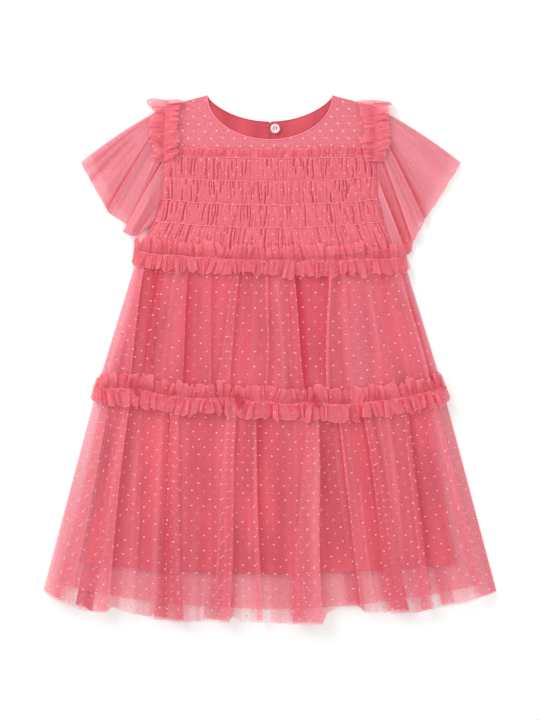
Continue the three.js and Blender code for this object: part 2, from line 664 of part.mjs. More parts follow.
add("waist_ruffle_front", frontRuffle(WAIST_RUFFLE), CORAL);
add("waist_ruffle_back", backRuffle(WAIST_RUFFLE), CORAL);
add("middle_ruffle_front", frontRuffle(MIDDLE_RUFFLE), CORAL);
add("middle_ruffle_back", backRuffle(MIDDLE_RUFFLE), CORAL);

add("button", await button(), PEARL, 0.3);
add("button_loop", buttonLoop(), CORAL, 0.6);

export default dress;
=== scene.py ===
"""A toddler's party dress in dotted tulle, laid flat on its back with the front up.

Tables and lengths are in millimetres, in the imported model's frame: X to the right, Y towards the neck and
Z up from the surface. "down" is a distance below the neck points. Meshes are made in metres.
"""
import math

import bmesh
import bpy
import numpy as np
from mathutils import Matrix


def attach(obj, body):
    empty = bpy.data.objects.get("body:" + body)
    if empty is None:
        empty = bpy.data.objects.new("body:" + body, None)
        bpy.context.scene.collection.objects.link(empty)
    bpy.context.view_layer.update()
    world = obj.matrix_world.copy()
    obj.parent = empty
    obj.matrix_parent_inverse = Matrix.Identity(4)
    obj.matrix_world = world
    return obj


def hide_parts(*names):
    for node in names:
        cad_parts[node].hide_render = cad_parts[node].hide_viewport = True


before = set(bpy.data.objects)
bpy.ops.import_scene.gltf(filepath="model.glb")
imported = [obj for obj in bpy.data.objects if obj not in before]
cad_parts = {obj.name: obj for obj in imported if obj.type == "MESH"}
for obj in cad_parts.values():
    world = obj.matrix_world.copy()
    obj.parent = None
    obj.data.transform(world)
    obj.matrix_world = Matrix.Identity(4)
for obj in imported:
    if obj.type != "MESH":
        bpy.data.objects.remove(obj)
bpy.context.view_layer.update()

MM = 0.001
ROOT = "root"

# Driving sizes, the same as the construction's.
LENGTH = 529.0
LAYER = 1.35
NECK_HALF = 63.0
FRONT_NECK = (44.5, 0.5)
BACK_NECK = (26.0, 0.75)
SHOULDER = (106.0, 11.0)
YOKE_END = 66.0
BODICE = {
    "down": (11, 60, 100, 122, 138, 163),
    "left": (106, 106, 107.5, 114, 123, 132),
    "right": (106, 106, 107.5, 113, 120.5, 131),
}
BACK_RISE = {"down": (60, 100, 124, 133, 163), "rise": (0, 0, 2, 8, 8)}
SKIRT = {"down": (163, 310, 529), "half": (131, 172, 227), "rise": (8, 21, 34), "bow": (2.0, 2.6, 2.0)}
WAIST, MIDDLE_SEAM, HEM = SKIRT["down"]
SIDE_ROLL = 11.0


def level(n):
    """Height of the middle of a layer, counted from the cloth on the surface."""
    return 0.5 + n * LAYER


TIER_FRONT = level(6)


def y_at(down):
    return LENGTH / 2 - down


def lerp(a, b, t):
    return a + (b - a) * t


def smooth(t):
    t = np.clip(t, 0.0, 1.0)
    return t * t * (3 - 2 * t)


def points(*parts):
    """Numbers and arrays side by side on a new last axis, each spread over the shape of them all."""
    return np.stack(np.broadcast_arrays(*parts), -1)


def unit(vectors):
    return vectors / np.linalg.norm(vectors, axis=1, keepdims=True)


def run_of(places):
    """How far along a line each of its places is."""
    return np.concatenate([[0], np.cumsum(np.linalg.norm(np.diff(places, axis=0), axis=-1))])


def read_along(values, run, at):
    """Rows of values along a line, read at distances along it."""
    return points(*(np.interp(at, run, column) for column in values.T))


def read(table, column, down):
    """A column of a table at distances down."""
    return np.interp(down, table["down"], table[column])


def chance(n):
    """A number from 0 to 1 for each whole number, the same on each run."""
    return np.abs(np.sin(np.asarray(n) * 12.9898 + 78.233) * 43758.5453) % 1.0


def wander(x, pitch, seed):
    """A smooth uneven curve between -1 and 1 that changes about once in each pitch."""
    t = np.asarray(x, dtype=float) / pitch + seed * 17.31
    i = np.floor(t)
    return 2 * lerp(chance(i), chance(i + 1), smooth(t - i)) - 1


def on_skirt(x, down):
    """The point of the skirt's arc at a distance down, as an array of x and y."""
    half, rise, bow = (read(SKIRT, column, down) for column in ("half", "rise", "bow"))
    return points(x, y_at(down) + rise * np.abs(x / half) ** bow)


def bodice_half(down, side):
    return read(BODICE, "left" if side < 0 else "right", down)


def neck_down(x, neck):
    depth, bow = neck
    return depth * np.maximum(0.0, 1 - (x / NECK_HALF) ** 2) ** bow


# Camera and light

VIEW_HEIGHT = 0.720
CAMERA_DISTANCE = 2.6
VIEW_PLANE = 0.008  # height of the cloth that is seen at the photograph's scale
FLOOR_HALF = 3.0


def make_camera():
    """The camera looks straight down at the dress, as the photograph does."""
    data = bpy.data.cameras.new("camera")
    data.sensor_fit = "VERTICAL"
    data.sensor_height = 36.0
    data.lens = data.sensor_height * (CAMERA_DISTANCE - VIEW_PLANE) / VIEW_HEIGHT
    camera = bpy.data.objects.new("camera", data)
    camera.location = (0.0, -0.0005, CAMERA_DISTANCE)
    bpy.context.scene.collection.objects.link(camera)
    bpy.context.scene.camera = camera


LAMPS = {"key": ((-1.0, 1.0, 1.05), 1.0, 20.0), "fill": ((0.9, -0.3, 1.5), 1.2, 8.0)}
SKY = ((1.0, 0.985, 0.98, 1), 0.62)


def make_studio():
    world = bpy.data.worlds.new("studio")
    bpy.context.scene.world = world
    world.use_nodes = True
    background = world.node_tree.nodes["Background"]
    background.inputs["Color"].default_value = SKY[0]
    background.inputs["Strength"].default_value = SKY[1]
    for name, (place, size, power) in LAMPS.items():
        data = bpy.data.lights.new(name, "AREA")
        data.shape = "SQUARE"
        data.size = size
        data.energy = power
        lamp = bpy.data.objects.new(name, data)
        lamp.location = place
        x, y, z = place
        lamp.rotation_euler = (math.acos(z / math.dist(place, (0, 0, 0))), 0, math.atan2(x, -y))
        bpy.context.scene.collection.objects.link(lamp)
    bpy.context.scene.view_settings.view_transform = "Standard"
    bpy.context.scene.cycles.transparent_max_bounces = 48


def make_floor():
    mesh = bpy.data.meshes.new("floor")
    corners = [(x * FLOOR_HALF, y * FLOOR_HALF, 0) for x, y in ((-1, -1), (1, -1), (1, 1), (-1, 1))]
    mesh.from_pydata(corners, [], [(0, 1, 2, 3)])
    n = Nodes("floor_paper")
    n.give({"Base Color": (0.97, 0.97, 0.97, 1), "Roughness": 0.9, "Specular IOR Level": 0.1})
    mesh.materials.append(n.material)
    floor = bpy.data.objects.new("floor", mesh)
    bpy.context.scene.collection.objects.link(floor)


# Materials


class Nodes:
    """A short way to write a material's nodes."""

    def __init__(self, name):
        self.material = bpy.data.materials.new(name)
        self.material.use_nodes = True
        self.tree = self.material.node_tree
        self.shader = self.tree.nodes["Principled BSDF"]

    def link(self, value, socket):
        if isinstance(value, bpy.types.NodeSocket):
            self.tree.links.new(value, socket)
        else:
            socket.default_value = value

    def give(self, values):
        """Sets the shader's own sockets."""
        for name, value in values.items():
            self.shader.inputs[name].default_value = value

    def add(self, kind, *values):
        """A new node, with the values set on its first inputs or linked to them."""
        node = self.tree.nodes.new("ShaderNode" + kind)
        for value, socket in zip(values, node.inputs):
            self.link(value, socket)
        return node

    def math(self, operation, *values):
        node = self.add("Math", *values)
        node.operation = operation
        return node.outputs[0]

    def times(self, a, b):
        return self.math("MULTIPLY", a, b)

    def plus(self, a, b):
        return self.math("ADD", a, b)

    def blend(self, share, a, b):
        """Colour a where the share is 0, and b where it is 1."""
        node = self.add("Mix", share)
        node.data_type = "RGBA"
        self.link(a, node.inputs[6])
        self.link(b, node.inputs[7])
        return node.outputs[2]

    def span(self, value, low, high, to_low=0.0, to_high=1.0):
        node = self.add("MapRange", value, low, high, to_low, to_high)
        node.interpolation_type = "SMOOTHSTEP"
        return node.outputs[0]

    def cloth(self):
        """The cloth's own coordinates in millimetres, along and down it."""
        node = self.add("UVMap")
        node.uv_map = "cloth"
        self.flat = node.outputs[0]
        parts = self.add("SeparateXYZ", self.flat)
        return [self.times(parts.outputs[i], 1000.0) for i in (0, 1)]

    def noise(self, per_metre, detail=2.0, stretch=(1, 1, 1)):
        scale = self.add("Mapping", self.flat)
        scale.inputs["Scale"].default_value = stretch
        node = self.add("TexNoise", scale.outputs[0])
        node.inputs["Scale"].default_value = per_metre
        node.inputs["Detail"].default_value = detail
        return node.outputs[0]

    def thread(self):
        """The threads of a fine six-sided net: 1 in the middle of a thread and 0 beside it."""
        node = self.add("TexVoronoi", self.flat)
        node.feature = "DISTANCE_TO_EDGE"
        node.inputs["Scale"].default_value = NET_CELLS
        node.inputs["Randomness"].default_value = 0.35
        return self.span(node.outputs["Distance"], 0.0, 0.22, 1.0, 0.0)

    def attribute(self, name):
        node = self.add("Attribute")
        node.attribute_name = name
        return node.outputs["Fac"]

    def fold_shading(self, tone, deep, pale):
        """The tone made deeper in a fold as painted shade and paler on its edge as a painted highlight, and
        how much of either there is.
        """
        pressed = self.attribute("fold")
        hollow = self.math("MAXIMUM", self.times(pressed, -1.0), 0.0)
        edge = self.math("MAXIMUM", pressed, 0.0)
        tone = self.blend(self.math("MINIMUM", hollow, 1.0), tone, deep)
        tone = self.blend(self.math("MINIMUM", edge, 1.0), tone, pale)
        return tone, self.plus(hollow, edge)

    def paint(self, tone):
        self.link(tone, self.shader.inputs["Base Color"])

    def bump(self, height, distance, strength):
        node = self.add("Bump", strength, distance)
        self.link(height, node.inputs["Height"])
        self.link(node.outputs[0], self.shader.inputs["Normal"])

    def finish(self, rough, specular=0.25, sheen=0.3, tint=(1.0, 0.75, 0.78, 1)):
        self.give({"Roughness": rough, "Specular IOR Level": specular})
        self.give({"Sheen Weight": sheen, "Sheen Roughness": 0.4, "Sheen Tint": tint})
        return self.material


DOT_PITCH = (11.5, 14.8)  # millimetres across and down, in each of two staggered sets
DOT_RADIUS = (1.05, 0.76)
DOT_DRIFT = 3.4  # how far a dot may be from its even place
NET_CELLS = 820.0  # holes of the net in a metre
# The dots' two tones: their own pink, and a near-white that stands in for painted glints of the glitter.
GLITTER_AND_GLINT_TONES = ((1.0, 0.46, 0.50, 1), (1.0, 0.78, 0.77, 1))


def shade(color, share=1.0):
    return [c * share for c in color] + [1]


def dotted(n, along, down, tone, strength, missing):
    """The tone with woven dots of glittering thread on it, speckled at random from their own pink to a
    near-white that is a painted glint, and how much of a dot there is, from 0 to 1.
    """
    found = None
    along = n.plus(along, n.times(n.noise(26.0, 0.0), DOT_DRIFT))
    down = n.plus(down, n.times(n.noise(31.0, 0.0, (1.2, 0.8, 1)), DOT_DRIFT))
    for shift in (0.0, 0.5):
        squares = []
        for coordinate, pitch, radius in zip((along, down), DOT_PITCH, DOT_RADIUS):
            place = n.math("FRACT", n.plus(n.math("DIVIDE", coordinate, pitch), shift))
            offset = n.times(n.math("SUBTRACT", place, 0.5), pitch / radius)
            squares.append(n.times(offset, offset))
        dot = n.span(n.plus(*squares), 0.5, 1.4, 1.0, 0.0)
        found = dot if found is None else n.math("MAXIMUM", found, dot)
    bright = n.span(n.noise(130.0, 0.0), missing, missing + 0.4, 0.12, strength)
    found = n.times(found, bright)
    # Random specks of painted glint on the dots.
    glitter_and_glint = n.blend(n.span(n.noise(900.0), 0.35, 0.65), *GLITTER_AND_GLINT_TONES)
    return n.blend(found, tone, glitter_and_glint), found


def tulle_material(name, color, cover, dots=0.8):
    """Net whose threads hide about the share "cover" of what lies behind it."""
    n = Nodes(name)
    along, down = n.cloth()
    thread = n.thread()
    grain = n.span(n.noise(420.0, 3.0), 0.3, 0.7, cover - 0.07, cover + 0.01)
    hidden = n.plus(n.times(thread, 0.1), grain)
    streak = n.span(n.noise(60.0, 2.0, (1, 0.08, 1)), 0.35, 0.65)
    tone = n.blend(streak, shade(color, 0.9), shade(color))
    # Painted shade in the folds, deeper where the net also lies doubled, and a painted highlight on their
    # edges; the net is also made denser there.
    tone, pressed = n.fold_shading(tone, (0.74, 0.05, 0.085, 1), (1.0, 0.33, 0.38, 1))
    hidden = n.plus(hidden, n.times(n.times(pressed, pressed), 0.45))
    hidden = n.plus(hidden, n.times(n.attribute("layers"), 0.18))
    if dots:
        tone, dot = dotted(n, along, down, tone, dots, 0.2)
        hidden = n.math("MAXIMUM", hidden, n.times(dot, 0.95))
    n.paint(tone)
    n.link(n.math("MAXIMUM", n.math("MINIMUM", hidden, 1.0), 0.03), n.shader.inputs["Alpha"])
    n.bump(thread, 0.00015, 0.4)
    return n.finish(rough=0.75, sheen=0.15)


def backed_material(name, color, deep, dots=0.65, missing=0.33):
    """Net over an opaque lining, seen as one cloth."""
    n = Nodes(name)
    along, down = n.cloth()
    thread = n.thread()
    grain = n.span(n.noise(420.0, 3.0), 0.25, 0.75, 0.25, 0.75)
    share = n.math("MINIMUM", n.plus(n.times(thread, 0.3), grain), 1.0)
    tone = n.blend(share, shade(deep), shade(color))
    # Painted shade in the folds and a painted highlight on their edges.
    tone, _ = n.fold_shading(tone, (0.56, 0.045, 0.08, 1), (1.0, 0.34, 0.40, 1))
    if dots:
        tone, _ = dotted(n, along, down, tone, dots, missing)
    n.paint(tone)
    n.bump(thread, 0.0002, 0.5)
    return n.finish(rough=0.8)


def lining_material(name, deep, pale):
    """Fine opaque voile with a plain weave and a soft sheen."""
    n = Nodes(name)
    ends = [n.math("SINE", n.times(coordinate, 14.0)) for coordinate in n.cloth()]
    tone = n.span(n.noise(42.0, 3.0, (1, 0.22, 1)), 0.35, 0.65)
    n.paint(n.blend(tone, shade(deep), shade(pale)))
    n.bump(n.plus(*ends), 0.00004, 0.5)
    return n.finish(rough=0.6, specular=0.3, sheen=0.25, tint=(1.0, 0.8, 0.8, 1))


def thread_material(name, color):
    n = Nodes(name)
    twist = n.math("SINE", n.times(n.plus(*n.cloth()), 6.0))
    # The thread is darker in the grooves of its twist: painted shade.
    n.paint(n.blend(n.span(twist, -1.0, 1.0), shade(color, 0.8), shade(color)))
    n.bump(twist, 0.0001, 0.5)
    return n.finish(rough=0.6)


def pearl_material():
    """Pearly resin with a faint swirl."""
    n = Nodes("button_pearl")
    n.cloth()
    swirl = n.span(n.noise(260.0, 3.0), 0.35, 0.65)
    n.paint(n.blend(swirl, (0.80, 0.50, 0.53, 1), (0.95, 0.78, 0.79, 1)))
    n.give({"Coat Weight": 0.5, "Coat Roughness": 0.15})
    return n.finish(rough=0.25, specular=0.5, sheen=0.0)


# Meshes


def piece_from(name, grids, looks, node=None, weld=False):
    """One smooth mesh of grids, in place of the node if one is named.

    Each grid has its places, its cloth coordinates, the number of its look, whether it is a ring, and, for a
    cloth in folds, a share from -1 for painted shade in a fold to 1 for a painted highlight on its edge, and
    how full the net is, from -1 to 1.
    """
    parts = []
    offset = 0
    for places, flat, number, ring, *given in grids:
        shape = places.shape[:2]
        index = np.arange(math.prod(shape)).reshape(shape) + offset
        offset += index.size
        if ring:
            index = np.concatenate([index, index[:, :1]], 1)
        quads = points(index[:-1, :-1], index[1:, :-1], index[1:, 1:], index[:-1, 1:]).reshape(-1, 4)
        cloth = np.broadcast_to(flat, (*shape, 2)).reshape(-1, 2)
        shares = [np.broadcast_to(value, shape).ravel() for value in (*given, 0.0, 0.0)[:2]]
        parts.append((places.reshape(-1, 3), quads, cloth, np.full(len(quads), number), *shares))
    vertices, faces, cloth, numbers, *shares = (np.concatenate(part) for part in zip(*parts))
    mesh = bpy.data.meshes.new(name)
    mesh.vertices.add(len(vertices))
    mesh.vertices.foreach_set("co", (vertices * MM).astype(np.float32).ravel())
    mesh.loops.add(faces.size)
    mesh.loops.foreach_set("vertex_index", faces.astype(np.int32).ravel())
    mesh.polygons.add(len(faces))
    mesh.polygons.foreach_set("loop_start", np.arange(len(faces), dtype=np.int32) * 4)
    layer = mesh.uv_layers.new(name="cloth")
    layer.data.foreach_set("uv", (cloth[faces.ravel()] * MM).astype(np.float32).ravel())
    # The fold share is painted shade below 0 and a painted highlight above 0.
    for attribute, share in zip(("fold", "layers"), shares):
        layer = mesh.attributes.new(attribute, "FLOAT", "POINT")
        layer.data.foreach_set("value", share.astype(np.float32))
    for look in looks:
        mesh.materials.append(MATERIALS[look])
    mesh.polygons.foreach_set("material_index", numbers.astype(np.int32))
    mesh.update(calc_edges=True)
    mesh.validate()
    if weld:
        welded = bmesh.new()
        welded.from_mesh(mesh)
        bmesh.ops.remove_doubles(welded, verts=welded.verts, dist=1e-6)
        welded.to_mesh(mesh)
        welded.free()
    mesh.shade_smooth()
    piece = bpy.data.objects.new(name, mesh)
    bpy.context.scene.collection.objects.link(piece)
    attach(piece, ROOT)
    if node:
        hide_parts(node)
    return piece


def cloth_piece(node, grids, looks, weld=False):
    return piece_from(node + "_cloth", grids, looks, node, weld)


def shell_grids(upper, lower, flat, pressed=0.0):
    """The grids of a closed thin shell: its upper side, its lower side, and the four rims between them."""
    grids = [(upper, flat, 0, False, pressed), (lower[:, ::-1], flat[:, ::-1], 1, False)]
    rims = ((np.s_[:1], 0, (lower, upper)), (np.s_[-1:], 0, (upper, lower)))
    rims += ((np.s_[:, :1], 1, (lower, upper)), (np.s_[:, -1:], 1, (upper, lower)))
    for cut, axis, pair in rims:
        rim = np.concatenate([part[cut] for part in pair], axis)
        grids.append((rim, np.repeat(flat[cut], 2, axis), 0, False))
    return grids


def cord_grid(path, radius, number=0, sides=6):
    """The grid of a round thread along a path of places."""
    path = np.asarray(path, dtype=float)
    ahead = unit(np.gradient(path, axis=0))
    across = np.cross(ahead, (0.0, 0.0, 1.0))
    across /= np.linalg.norm(across, axis=1, keepdims=True) + 1e-9
    over = np.cross(across, ahead)
    turn = (np.arange(sides) * 2 * math.pi / sides)[None, :, None]
    places = path[:, None] + radius * (np.cos(turn) * across[:, None] + np.sin(turn) * over[:, None])
    return places, points(run_of(path)[:, None], turn[:, :, 0] * radius), number, True


# Folds and gathers


def blurred(values, width):
    """Values with their sharp turns rounded, and their ends kept."""
    reach = int(3 * width) + 1
    weights = np.exp(-0.5 * (np.arange(-reach, reach + 1) / width) ** 2)
    before = 2 * values[0] - values[reach:0:-1]
    after = 2 * values[-1] - values[-2 : -reach - 2 : -1]
    return np.convolve(np.concatenate([before, values, after]), weights / weights.sum(), "valid")


def near_ends(t, length, first, last, width):
    """A share that is "first" at the start of a leg and "last" at its end, and fades between them."""
    return first * np.exp(-((t * length / width) ** 2)) + last * np.exp(-(((1 - t) * length / width) ** 2))


def pleat_track(seam, hem, folds, pitch, tail, turn=1.3, line=1.2, shade=4.5):
    """Columns across a cloth that is laid in folds, from the first place to the last along its two edges.

    A fold has the place of its visible edge on the seam and on the hem, which part lies on top (1 for the
    one before it, -1 for the one after), its overlap on the seam and on the hem, and its height. The result
    is the columns' places on the seam and on the hem, their lift, how far each is tucked under, and a share
    from -1 for painted shade in a fold and beside it to 1 for a painted highlight on its edge.
    """
    legs = []
    at = np.array([seam[0], hem[0]])
    carried, before, shaded = (0.0, 0.0), 0, 0

    def steps(length):
        return np.linspace(0, 1, max(4, int(round(length / pitch))), endpoint=False)

    def leg(end, *shape):
        legs.append((*lerp(at[:, None], end[:, None], t), *shape))

    for *edge, side, seam_over, hem_over, height in (*folds, (seam[1], hem[1], 0, 0, 0, 0)):
        edge, over = np.array(edge), np.array([seam_over, hem_over])
        reach = edge if side >= 0 else edge + over
        length = abs(reach[1] - at[1])
        t = steps(length)
        place = lerp(at[1], reach[1], t)
        rising = height * smooth((place - (reach[1] - hem_over - tail)) / tail) if side > 0 else 0 * t
        falling = carried[0] * (1 - smooth((place - at[1] - carried[1]) / tail))
        under = smooth((place - edge[1]) / 2 + 1) if side < 0 else 0 * t
        # The share: a painted highlight at a fold's edge, and painted shade in the fold and beside it.
        pressed = near_ends(t, length, before, max(side, 0), line)
        pressed = pressed - shaded * np.exp(-(((place - at[1]) / shade) ** 2))
        if side < 0:
            pressed = pressed - np.exp(-((np.maximum(edge[1] - place, 0) / shade) ** 2))
        leg(reach, np.maximum(rising, falling), under, pressed)
        carried, before, shaded = (0.0, 0.0), 0, 0
        at = reach
        if side:
            t = steps(hem_over)
            lift = lerp(height, 0, t) if side > 0 else lerp(0, height, t)
            leg(reach - over, lift, 0 * t + 0.6, near_ends(t, hem_over, side, -side, line))
            at = reach - over
        if side < 0:
            carried, before = (height, hem_over), 1
        if side > 0:
            leg(at + over, 0 * t, 0 * t + 1, 0 * t - 0.7)
            at, shaded = at + over, 1
    legs.append([[value] for value in (seam[1], hem[1], 0.0, 0.0, 0.0)])
    return [blurred(np.concatenate(part), turn) for part in zip(*legs)]


CREASE_DRIFT = 4.0


def creases(s, v, count, seed, width=(1.0, 3.2), height=(0.15, 0.7)):
    """Fine soft creases down a cloth, uneven in place, depth and length."""
    z = np.zeros((len(v), len(s)))
    low, high = s.min(), s.max()
    k = np.arange(count) + seed * 100
    place = low + (high - low) * (np.arange(count) + 0.8 * chance(k)) / count
    wide = lerp(width[0], width[1], chance(k + 0.31))
    tall = lerp(height[0], height[1], chance(k + 0.47) ** 1.6) * np.where(chance(k + 0.77) < 0.45, -1, 1)
    begin = np.where(chance(k + 0.13) < 0.6, -0.2, chance(k + 0.23) * 0.5)
    end = begin + lerp(0.35, 1.4, chance(k + 0.59))
    slide = CREASE_DRIFT * (chance(k + 0.91) - 0.5) * 2
    for i in range(count):
        near = np.abs(s - place[i]) < 3 * wide[i] + abs(slide[i])
        across = (s[near][None] - place[i] - slide[i] * v[:, None]) / wide[i]
        along = smooth((v - begin[i]) / 0.12) * smooth((end[i] - v) / 0.3)
        z[:, near] += tall[i] * np.exp(-across * across) * along[:, None]
    return z


# The skirt

# Folds of the tiers' fronts: the visible edge on the seam and on the lower edge, the part on top (1 for the
# left one, -1 for the right one), the overlap on the seam and on the lower edge, and the height.
UPPER_FOLDS = (
    (-123, -139, 1, 5, 12, 2.6), (-107, -128, -1, 4, 8, 2.2), (-79, -88, 1, 2, 3, 1.6),
    (-56, -59, 1, 2, 3, 1.6), (-28, -40, 1, 6, 16, 3.4), (-1, -4, 1, 4, 4, 2.2),
    (23, 38, 1, 7, 18, 3.4), (60, 56, -1, 3, 5, 2.6), (126.6, 162.8, 1, 3, 6, 2.0),
)
LOWER_FOLDS = (
    (-158, -199, 1, 5, 16, 3.0), (-138, -160, 1, 9, 23, 4.6), (-100, -105, -1, 9, 20, 4.2),
    (-32, -39, 1, 11, 19, 5.2), (-13, -6, 1, 4, 8, 2.4), (49, 54, 1, 12, 32, 5.0),
    (66, 90, -1, 4, 6, 3.0), (90, 118, -1, 8, 22, 4.0), (137, 161, 1, 5, 10, 3.6),
    (164, 214, 1, 3, 10, 2.4),
)
UPPER_BACK_FOLDS = (
    (-96, -121, -1, 4, 9, 1.0), (-58, -72, 1, 5, 12, 1.2), (-12, -15, -1, 4, 9, 1.0),
    (34, 42, 1, 5, 12, 1.2), (88, 112, 1, 4, 10, 1.0),
)
LOWER_BACK_FOLDS = (
    (-140, -182, 1, 6, 14, 1.1), (-92, -118, -1, 7, 16, 1.2), (-40, -50, 1, 7, 18, 1.2),
    (18, 22, -1, 6, 15, 1.1), (66, 92, 1, 7, 16, 1.2), (128, 172, -1, 6, 14, 1.1),
)
# Bands of the tiers' fronts where the net lies fuller or thinner over the lining than elsewhere, with painted
# shade also laid on the thinnest: the first and the last place on the lower edge, and a share from -1 where
# it is thinnest to 1 where it is fullest.
UPPER_BANDS = (
    (-131, -120, -1.0), (-113, -57, 0.7), (-54, -37, -0.3), (-35, -23, -1.0), (-20, -4, 0.4),
    (-3, 4, -0.6), (6, 34, 0.4), (36, 55, -1.0), (57, 62, 0.9), (63, 76, -0.4), (79, 133, 0.7),
)
LOWER_BANDS = (
    (-175, -139, 0.8), (-137, -120, -1.0), (-102, -76, 0.8), (-74, -57, -0.8), (-51, -34, 0.7),
    (-30, -19, -1.0), (-9, 17, -0.9), (19, 54, 0.8), (56, 83, -1.0), (85, 104, 0.7), (106, 118, -0.6),
    (121, 158, 0.8), (160, 190, -0.9),
)
# How far the hem hangs below its arc, at places across it.
HEM_DROP = {
    "x": (-227, -208, -183, -163, -158, -137, -105, -41, -37, -29,
          0, 53, 57, 70, 88, 94, 146, 162, 196, 227),
    "drop": (1, 7, 10, 6, -1, 3, 4, -1, -7, -2,
             -1, 2, -8, -13, -12, -6, 3, 3, 4, 2),
}


def rolled(inward, plateau, edge):
    """Height of a front panel, which turns down from its plateau to its side edge."""
    return lerp(edge, plateau, np.sin(np.clip(inward / SIDE_ROLL, 0, 1) * math.pi / 2))


def banded(x, bands):
    """How full the net is at each place, from its bands with soft edges."""
    shares = (share * smooth((x - first) / 3) * smooth((last - x) / 3) for first, last, share in bands)
    return sum(shares, 0 * x)


FOLD_TAIL = 20.0  # the distance over which a fold's height fades beside it
SIDE_CALM = 14.0  # the distance over which creases fade to a side edge
BACK_OVER = (16, 12)  # how far the back stays raised over a frill, and how far it takes to come down
# How the folds bend sideways: how far, in how many half waves down them, the pitch and the seed.
SWAYS = ((2.6, 1, 48.0, 3), (1.5, 2, 34.0, 6))
# The gathers below a seam: their height, their pitch, the seed, and how far down they fade.
GATHERS = ((0.55, 1.9, 4, 7.0), (0.6, 4.6, 5, 26.0))


def tier(name, folds, start, end, rows, pitch, seed, bands=(), back=False):
    """A tier's front or back as a fan of folds between its seam and its lower edge."""
    hangs = end == HEM
    half = [read(SKIRT, "half", down) for down in (start, end)]
    spans = ((-half[0], half[0]), (-half[1], half[1]))
    turn = 1.1 if back else 1.4
    seam, hem, lift, under, pressed = pleat_track(*spans, folds, pitch, FOLD_TAIL, turn)
    top = on_skirt(seam, start)
    low = on_skirt(hem, end)
    s = run_of(lerp(top, low, 0.55))
    if hangs:
        low[:, 1] -= np.interp(hem, HEM_DROP["x"], HEM_DROP["drop"]) - 3.0 * under
        low[:, 1] -= 0.7 * wander(s, 9.0, seed)
    v = np.linspace(0, 1, rows)[:, None]
    places = np.empty((rows, len(s), 3))
    places[..., :2] = lerp(top, low, v[..., None])
    inward = lerp(half[0], half[1], v) - np.abs(places[..., 0])
    edge_calm = smooth(inward / SIDE_CALM)
    sway = sum(far * np.sin(v * waves * math.pi) * wander(s, wide, seed + k) for far, waves, wide, k in SWAYS)
    places[..., 0] += sway * edge_calm
    depth = (end - start) * v
    fine = creases(s, v[:, 0], int(s[-1] / (9.0 if back else 5.0)), seed, height=(0.2, 1.1))
    full = wander(s, 30.0, seed + 1) * 1.5 + wander(s, 13.0, seed + 2) * 0.8
    gathers = sum(tall * wander(s, wide, seed + k) * np.exp(-depth / far) for tall, wide, k, far in GATHERS)
    grown = 0.22 + 0.78 * smooth(v / 0.28)
    if not hangs:
        grown = grown * (1 - 0.75 * smooth((v - 0.72) / 0.2))
    if back:
        flat_from, fall = BACK_OVER
        over = 1 - smooth((depth - flat_from) / fall)
        if not hangs:
            over = np.maximum(over, 1 - smooth((end - start - depth - flat_from) / fall))
        places[..., 2] = 0.5 + LAYER * over + np.maximum(lift * grown + 0.25 * (fine + full), -0.3)
    else:
        relief = 1.25 * lift * grown + (fine + full * smooth(v / 0.4) + gathers) * edge_calm
        places[..., 2] = rolled(inward, TIER_FRONT + 0.3, 1.6) + np.maximum(relief, -0.9)
    # The tone: painted shade in the hollows of the creases and the broad relief and painted light on their
    # crests, painted shade in the gathers' hollows, the folds' painted shade and highlight, and painted shade
    # on the thinnest bands, fading towards the lower edge.
    hollow = np.clip((1.4 * fine + 0.6 * full * smooth(v / 0.3)) / 2.0, -1, 0.9)
    full = banded(hem, bands)
    lines = np.where(pressed > 0, 0.5, 0.75) * pressed * smooth(v / 0.2 + 0.3)
    lines = lines + 0.35 * np.minimum(full, 0) * (1 - smooth((v - 0.72) / 0.12))
    pressed = np.clip(lines + 0.7 * hollow + 0.25 * np.minimum(gathers, 0.2), -0.95, 0.8)
    loose = 1.0 if bands else 1.6
    full = 0.8 * full + loose * 0.6 * wander(s + 9 * np.sin(v * 2.3 + seed), 14.0, seed + 8)
    full = full + loose * 0.4 * wander(s, 6.0, seed + 9)
    gathered = np.where(places[..., 0] > 0, 1.8, 1.2) if hangs else 1.0
    layers = np.clip(full * smooth(v / 0.12), -0.8, 1.3) + gathered * (1 - smooth(inward / 26))
    grids = [(places, points(s, start + depth), 0, False, pressed, layers)]
    return cloth_piece(name, grids, ["tulle" if hangs else "tulle_upper"])


LINING = {"down": (163.7, 287, 479), "half": (119, 152, 186), "rise": (7, 16, 10)}
UNDERSKIRT = {"down": (163.7, 287, 514), "half": (119, 159, 210), "rise": (7, 19, 24)}


def inner_panel(name, tube, layer, seed, slot, look, pitch, soft):
    """One side of an inner tube of the skirt, with soft creases from the waist."""
    u = np.linspace(-1, 1, int(2 * tube["half"][-1] / pitch))
    downs = np.linspace(tube["down"][0], tube["down"][-1], 72)
    v = (downs - downs[0]) / (downs[-1] - downs[0])
    s = u * (tube["half"][0] + tube["half"][-1]) / 2
    relief = creases(s, v, int((s[-1] - s[0]) / 9), seed, width=(1.5, 5.0)) + 0.5 * wander(s, 22.0, seed)
    relief = soft * relief * smooth((1 - np.abs(u)) / 0.05)
    downs = downs[:, None]
    places = points(u * read(tube, "half", downs), y_at(downs) + read(tube, "rise", downs) * u * u,
                    level(layer) + relief)
    places[-1, :, 1] -= 0.5 * wander(s, 16.0, seed + 2)
    return cloth_piece(name, [(places, points(s, downs), 0, False)], [look])


# Ruffles

FRILL_DEPTH = 15.5
FRILL_ROWS = 9
CUT_EDGE = 0.028  # share of a frill's depth in the strip along its cut edge
WAIST_REACH = 137  # how far the frills go from the middle to each side
MIDDLE_REACH = 177
